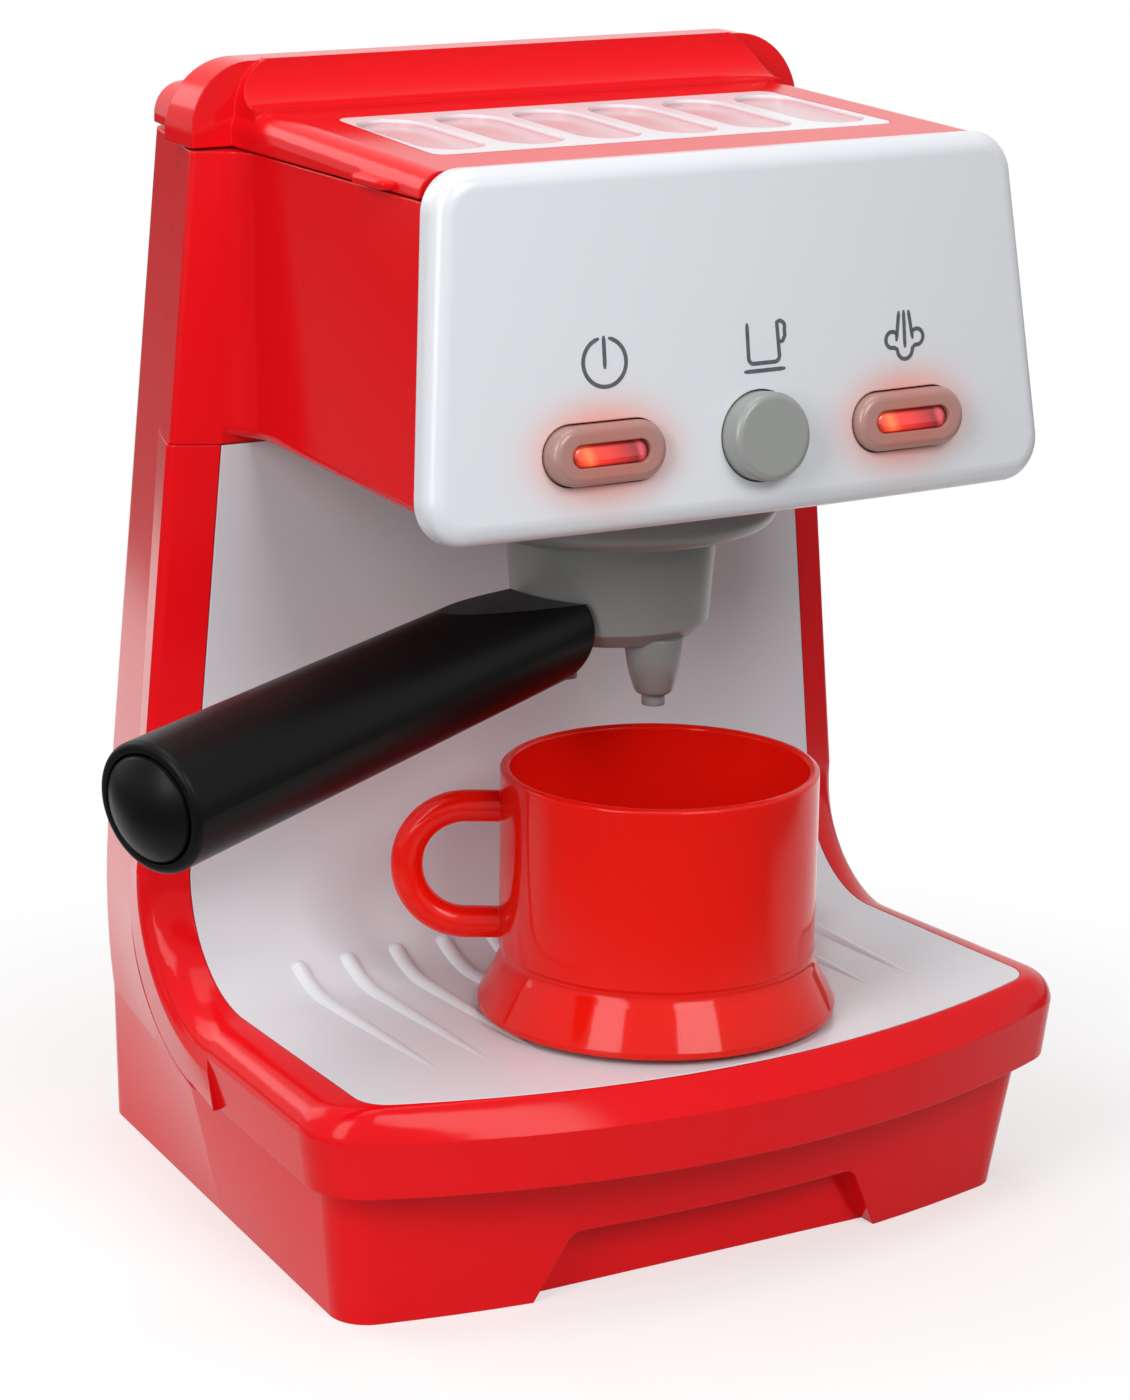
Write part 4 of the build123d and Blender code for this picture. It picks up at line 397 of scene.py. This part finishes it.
SWITCH_SIGN = [bow(0, 0, 4.5, 104, 436, 40), [(0, 4.7), (0, -1.1)]]
CUP_SIGN = [[(-3.7, 4.4), (-3.6, -2.0), *bow(-2.5, -2.0, 1.1, 180, 270, 6),
             *bow(2.3, -2.0, 1.1, 270, 360, 6), (3.1, 4.3), (3.9, 4.5),
             *bow(3.7, 3.3, 1.15, 70, -20, 6), (4.8, 1.6), (4.3, 0.7), (3.4, 0.5)],
            [(-4.6, -4.5), (4.5, -4.5)]]
STEAM_SIGN = [[(-1.2, 4.5), (-2.0, -0.9)], [(0, 4.6), (0.05, -2.3)], [(1.2, 4.5), (2.0, -0.8)],
              [*bow(-3.05, -0.7, 1.55, 42, 285, 16), *bow(0, -2.75, 1.85, 178, 362, 16),
               *bow(3.05, -0.6, 1.55, 255, 498, 16)]]
SIGNS = [(SWITCH_SIGN, -0.0331, 0.1890), (CUP_SIGN, 0.0017, 0.1892),
         (STEAM_SIGN, 0.0350, 0.1884)]


def refined(points, longest=0.7):
    """The same line with no step longer than longest."""
    fine = [points[0]]
    for a, b in zip(points, points[1:]):
        count = max(1, math.ceil(math.dist(a, b) / longest))
        fine += [(a[0] + (b[0] - a[0]) * i / count, a[1] + (b[1] - a[1]) * i / count)
                 for i in range(1, count + 1)]
    return fine


def landed(face, along, up):
    """Place and normal where a line from the front meets the face."""
    hit, place, normal, _ = face.ray_cast(Vector((along, -0.3, up)), Vector((0, 1, 0)))
    assert hit
    return place, normal if normal.y < 0 else -normal


def printed_line(build, face, centre, points):
    """Thin closed ribbon of ink on the face along the points."""
    fine = refined(points)
    spots = [landed(face, centre[0] + u * MM, centre[1] + v * MM) for u, v in fine]
    rows = []
    for i, (place, normal) in enumerate(spots):
        before, after = spots[max(0, i - 1)][0], spots[min(len(spots) - 1, i + 1)][0]
        forward = (after - before).normalized()
        side = forward.cross(normal).normalized() * LINE_WIDE / 2
        if i in (0, len(spots) - 1):
            side = side * END_WIDE
            place = place + forward * LINE_WIDE * (END_PAST if i else -END_PAST)
        top, low = normal * INK_HIGH, -normal * INK_SUNK
        rows.append([build.verts.new(place + side + top), build.verts.new(place - side + top),
                     build.verts.new(place - side + low), build.verts.new(place + side + low)])
    for a, b in zip(rows, rows[1:]):
        for i in range(4):
            j = (i + 1) % 4
            build.faces.new((a[i], a[j], b[j], b[i]))
    build.faces.new(rows[0])
    build.faces.new(rows[-1][::-1])


def symbols():
    face = nodes["fascia"]
    build = bmesh.new()
    for sign, along, up in SIGNS:
        for points in sign:
            printed_line(build, face, (along, up), points)
    bmesh.ops.recalc_face_normals(build, faces=build.faces)
    mesh = bpy.data.meshes.new("symbols")
    build.to_mesh(mesh)
    build.free()
    ink = bpy.data.objects.new("symbols", mesh)
    bpy.context.collection.objects.link(ink)
    mesh.materials.append(print_ink())
    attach(ink, "casing")


def dress(material, *names):
    for name in names:
        piece = nodes[name]
        piece.data.materials.clear()
        piece.data.materials.append(material)
        for polygon in piece.data.polygons:
            polygon.material_index = 0


def dress_all():
    red = red_casing()
    dress(red, "rear_shell", "front_shell", "head_housing", "lid_cover", "battery_door")
    dress(white_casing("white_fascia", LAMPS), "fascia")
    dress(white_casing("white_panel"), "splash_panel")
    dress(warmer_plastic(), "cup_warmer_grille")
    grey = moulded("grey_plastic", colour(132, 133, 131), 0.3, peel=0.03, edge=0.6).material
    dress(grey, "group_head", "portafilter_body")
    button = moulded("grey_button", colour(146, 148, 146), 0.24, peel=0.02, edge=0.4)
    dress(button.material, "brew_button")
    lit = moulded("grey_button_lit", colour(146, 144, 141), 0.24, peel=0.02, edge=0.4)
    for lamp in LAMPS:
        halo(lit, lamp, GLOW_GREY, 0.017, 0.85)
    dress(lit.material, "power_button", "steam_button")
    dress(lit_window(), "power_button_lens", "steam_button_lens")
    dress(grip_plastic(), "portafilter_handle", "handle_end_cap")
    dress(cup_plastic(), "cup")
    dark = moulded("black_plastic", colour(34, 34, 35), 0.45, grain=0.1).material
    dress(dark, "button_carrier", "battery_box", "tact_switches", "sound_chip")
    dress(moulded("seal_rubber", colour(26, 26, 26), 0.7, grain=0.15).material, "group_seal")
    dress(moulded("lamp_resin", colour(225, 20, 16), 0.08).material, "button_lamps")
    dress(board_lacquer(), "circuit_board")
    dress(cell_sleeve(), "batteries")
    dress(cone_paper(), "speaker_cone")
    steel = metal("plated_steel", colour(190, 190, 188), 0.3)
    dress(steel, *[name for name in nodes if "screw" in name or "pins" in name])
    dress(metal("spring_steel", colour(176, 178, 180), 0.25, 0.05), "power_spring", "brew_spring",
          "steam_spring", "battery_contacts", "speaker_frame", "speaker_magnet")
    dress(moulded("red_sleeve", colour(190, 20, 20), 0.4).material, "battery_lead_red",
          "speaker_lead_red")
    dress(moulded("black_sleeve", colour(24, 24, 26), 0.4).material, "battery_lead_black",
          "speaker_lead_black")


# ---------------------------------------------------------------- stage
PAPER_WHITE = 0.55         # share of plain white where the object's shadow falls
PAPER_HALF = 0.30          # half width of the paper that runs back from the object
PAPER_REACH = 0.16         # the paper round the object starts to fade here
FLOOR_HALF = 3.0
WHITE = (1, 1, 1, 1)
WORLD_LIGHT = 0.24
LIGHTS_AIM = (0, 0, 0.12)
SOFTBOXES = [              # name, place, size, watts
    ("key", (-0.05, -1.30, 1.05), (0.7, 0.6), 10.5),
    ("fill", (-1.2, -0.55, 0.75), (0.5, 1.1), 12),
    ("top", (-0.1, 0.0, 1.5), (0.9, 0.9), 7.5),
    ("rear", (-0.7, 1.2, 0.9), (0.8, 0.8), 6)]


def seen(sheet, paper=1.0):
    """Camera rays, and all rays that see the background; mirrored ones only on the paper."""
    rays = sheet.tree.nodes.new("ShaderNodeLightPath")
    camera_ray, clear_ray, glossy_ray = [Wire(sheet, rays.outputs[name]) for name in (
        "Is Camera Ray", "Is Transmission Ray", "Is Glossy Ray")]
    return camera_ray, camera_ray.most(clear_ray.most(glossy_ray) * paper)


def lit_paper():
    """White paper round the object and behind it; what lies beyond throws little light."""
    sheet = Sheet("paper")
    along, deep, _ = sheet.axes()
    across = along * math.cos(CAMERA_TURN) + deep * math.sin(CAMERA_TURN)
    behind = deep * math.cos(CAMERA_TURN) - along * math.sin(CAMERA_TURN)
    reach = (along * along + deep * deep).root()
    lane = (1.0 - across.size().step(PAPER_HALF, PAPER_HALF + 0.05)) * behind.step(-0.1, 0.0)
    paper = (1.0 - reach.step(PAPER_REACH, 0.30)).most(lane)
    looked, look = seen(sheet, paper)
    white = (0.95, 0.95, 0.95, 1)
    thrown = sheet.mix(paper, (0.2, 0.2, 0.2, 1), (0.6, 0.6, 0.6, 1))
    sheet.set(Base_Color=sheet.mix(looked, thrown, white), Roughness=0.8,
              Specular_IOR_Level=0.1)
    share = PAPER_WHITE + reach.step(0.13, 0.24) * (1.0 - PAPER_WHITE)
    glow = sheet.node("ShaderNodeEmission", {}, {"Color": WHITE, "Strength": 1.0})
    shade = Wire(sheet, sheet.shader.outputs[0])
    blend = sheet.node("ShaderNodeMixShader", {}, [look * share, shade, glow])
    sheet.link(blend, sheet.tree.nodes["Material Output"].inputs[0])
    return sheet.material


def stage():
    mesh = bpy.data.meshes.new("floor")
    corners = [(-1, -1, 0), (1, -1, 0), (1, 1, 0), (-1, 1, 0)]
    mesh.from_pydata([Vector(corner) * FLOOR_HALF for corner in corners], [], [(0, 1, 2, 3)])
    floor = bpy.data.objects.new("floor", mesh)
    bpy.context.collection.objects.link(floor)
    mesh.materials.append(lit_paper())


class Sky(Sheet):
    """The world's nodes, built as a material's are."""

    def __init__(self):
        self.material = bpy.data.worlds.new("studio")
        self.material.use_nodes = True
        self.tree = self.material.node_tree


def world():
    sky = Sky()
    _, look = seen(sky)
    light = sky.node("ShaderNodeBackground", {}, {"Color": WHITE, "Strength": WORLD_LIGHT})
    white = sky.node("ShaderNodeBackground", {}, {"Color": WHITE, "Strength": 1.0})
    blend = sky.node("ShaderNodeMixShader", {}, [look, light, white])
    sky.link(blend, sky.tree.nodes["World Output"].inputs[0])
    bpy.context.scene.world = sky.material
    bpy.context.scene.view_settings.view_transform = "Standard"


def softbox(name, place, size, power):
    data = bpy.data.lights.new(name, "AREA")
    data.shape = "RECTANGLE"
    data.size, data.size_y = size
    data.energy = power
    lamp = bpy.data.objects.new(name, data)
    lamp.location = place
    lamp.rotation_euler = (Vector(LIGHTS_AIM) - Vector(place)).to_track_quat("-Z", "Y").to_euler()
    bpy.context.collection.objects.link(lamp)


def lights():
    for softbox_data in SOFTBOXES:
        softbox(*softbox_data)


def camera():
    away = Vector((math.sin(CAMERA_TURN) * math.cos(CAMERA_RISE),
                   -math.cos(CAMERA_TURN) * math.cos(CAMERA_RISE), math.sin(CAMERA_RISE)))
    right = Vector((math.cos(CAMERA_TURN), math.sin(CAMERA_TURN), 0))
    up = away.cross(right)
    turned_right = right * math.cos(CAMERA_ROLL) + up * math.sin(CAMERA_ROLL)
    turned_up = up * math.cos(CAMERA_ROLL) - right * math.sin(CAMERA_ROLL)
    data = bpy.data.cameras.new("camera")
    data.sensor_width = SENSOR
    data.sensor_fit = "AUTO"
    data.lens = SENSOR * FOCAL_PIXELS / IMAGE_HIGH
    data.clip_start = 0.01
    view = bpy.data.objects.new("camera", data)
    turn = Matrix((turned_right, turned_up, away)).transposed().to_4x4()
    view.matrix_world = Matrix.Translation(CAMERA_AIM + away * CAMERA_FAR) @ turn
    bpy.context.collection.objects.link(view)
    bpy.context.scene.camera = view


# ---------------------------------------------------------------- springs
COIL_R = 0.0037
COIL_WIRE = 0.00035
COIL_TURNS = 4.0


def coil_tree():
    """Round wire wound on a cylinder, from z 0 to its length."""
    tree = bpy.data.node_groups.new("coil", "GeometryNodeTree")
    for name in ("Turns", "Radius", "Length", "Wire"):
        tree.interface.new_socket(name=name, in_out="INPUT", socket_type="NodeSocketFloat")
    tree.interface.new_socket(name="Finish", in_out="INPUT", socket_type="NodeSocketMaterial")
    tree.interface.new_socket(name="Geometry", in_out="OUTPUT", socket_type="NodeSocketGeometry")
    given = tree.nodes.new("NodeGroupInput").outputs
    path = tree.nodes.new("GeometryNodeCurveSpiral")
    path.inputs["Resolution"].default_value = 28
    round_wire = tree.nodes.new("GeometryNodeCurvePrimitiveCircle")
    round_wire.inputs["Resolution"].default_value = 8
    skin = tree.nodes.new("GeometryNodeCurveToMesh")
    skin.inputs["Fill Caps"].default_value = True
    real = tree.nodes.new("GeometryNodeRealizeInstances")
    finish = tree.nodes.new("GeometryNodeSetMaterial")
    out = tree.nodes.new("NodeGroupOutput")
    for start, end in ((given["Turns"], path.inputs["Rotations"]),
                       (given["Radius"], path.inputs["Start Radius"]),
                       (given["Radius"], path.inputs["End Radius"]),
                       (given["Length"], path.inputs["Height"]),
                       (given["Wire"], round_wire.inputs["Radius"]),
                       (path.outputs["Curve"], skin.inputs["Curve"]),
                       (round_wire.outputs["Curve"], skin.inputs["Profile Curve"]),
                       (skin.outputs["Mesh"], real.inputs["Geometry"]),
                       (real.outputs["Geometry"], finish.inputs["Geometry"]),
                       (given["Finish"], finish.inputs["Material"]),
                       (finish.outputs["Geometry"], out.inputs["Geometry"])):
        tree.links.new(start, end)
    return tree


def grown(name, tree, **values):
    """Mesh that a node tree makes from these inputs."""
    holder = bpy.data.objects.new(name, bpy.data.meshes.new(name))
    bpy.context.collection.objects.link(holder)
    modifier = holder.modifiers.new("grow", "NODES")
    modifier.node_group = tree
    for item in tree.interface.items_tree:
        if item.in_out == "INPUT":
            modifier[item.identifier] = values[item.name]
    bpy.context.view_layer.update()
    done = bpy.data.meshes.new_from_object(holder.evaluated_get(
        bpy.context.evaluated_depsgraph_get()))
    holder.modifiers.clear()
    holder.data = done
    return holder


def springs():
    tree = coil_tree()
    steel = metal("spring_wire", colour(186, 188, 190), 0.22, 0.03)
    for joint in frame["joints"]:
        if not joint["name"].endswith("_press"):
            continue
        node = joint["name"].replace("button_press", "spring")
        low, high = [Vector(corner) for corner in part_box(node)]
        front = -Vector(joint["axis"]).normalized()
        lean = abs(front.z)
        room = ((high.y - low.y) - 2 * (COIL_R + COIL_WIRE) * lean) / abs(front.y)
        length = room - 2 * COIL_WIRE
        coil = grown(node + "_wire", tree, Turns=COIL_TURNS, Radius=COIL_R, Length=length,
                     Wire=COIL_WIRE, Finish=steel)
        base = (low + high) / 2 - front * (length / 2)
        turn = front.to_track_quat("Z", "Y").to_matrix().to_4x4()
        coil.data.transform(Matrix.Translation(base) @ turn)
        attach(coil, "casing")
        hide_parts(node)
        base - front * COIL_WIRE
        (room - 0.002) / room
        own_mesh(coil)


dress_all()
symbols()
springs()
stage()
world()
lights()
camera()
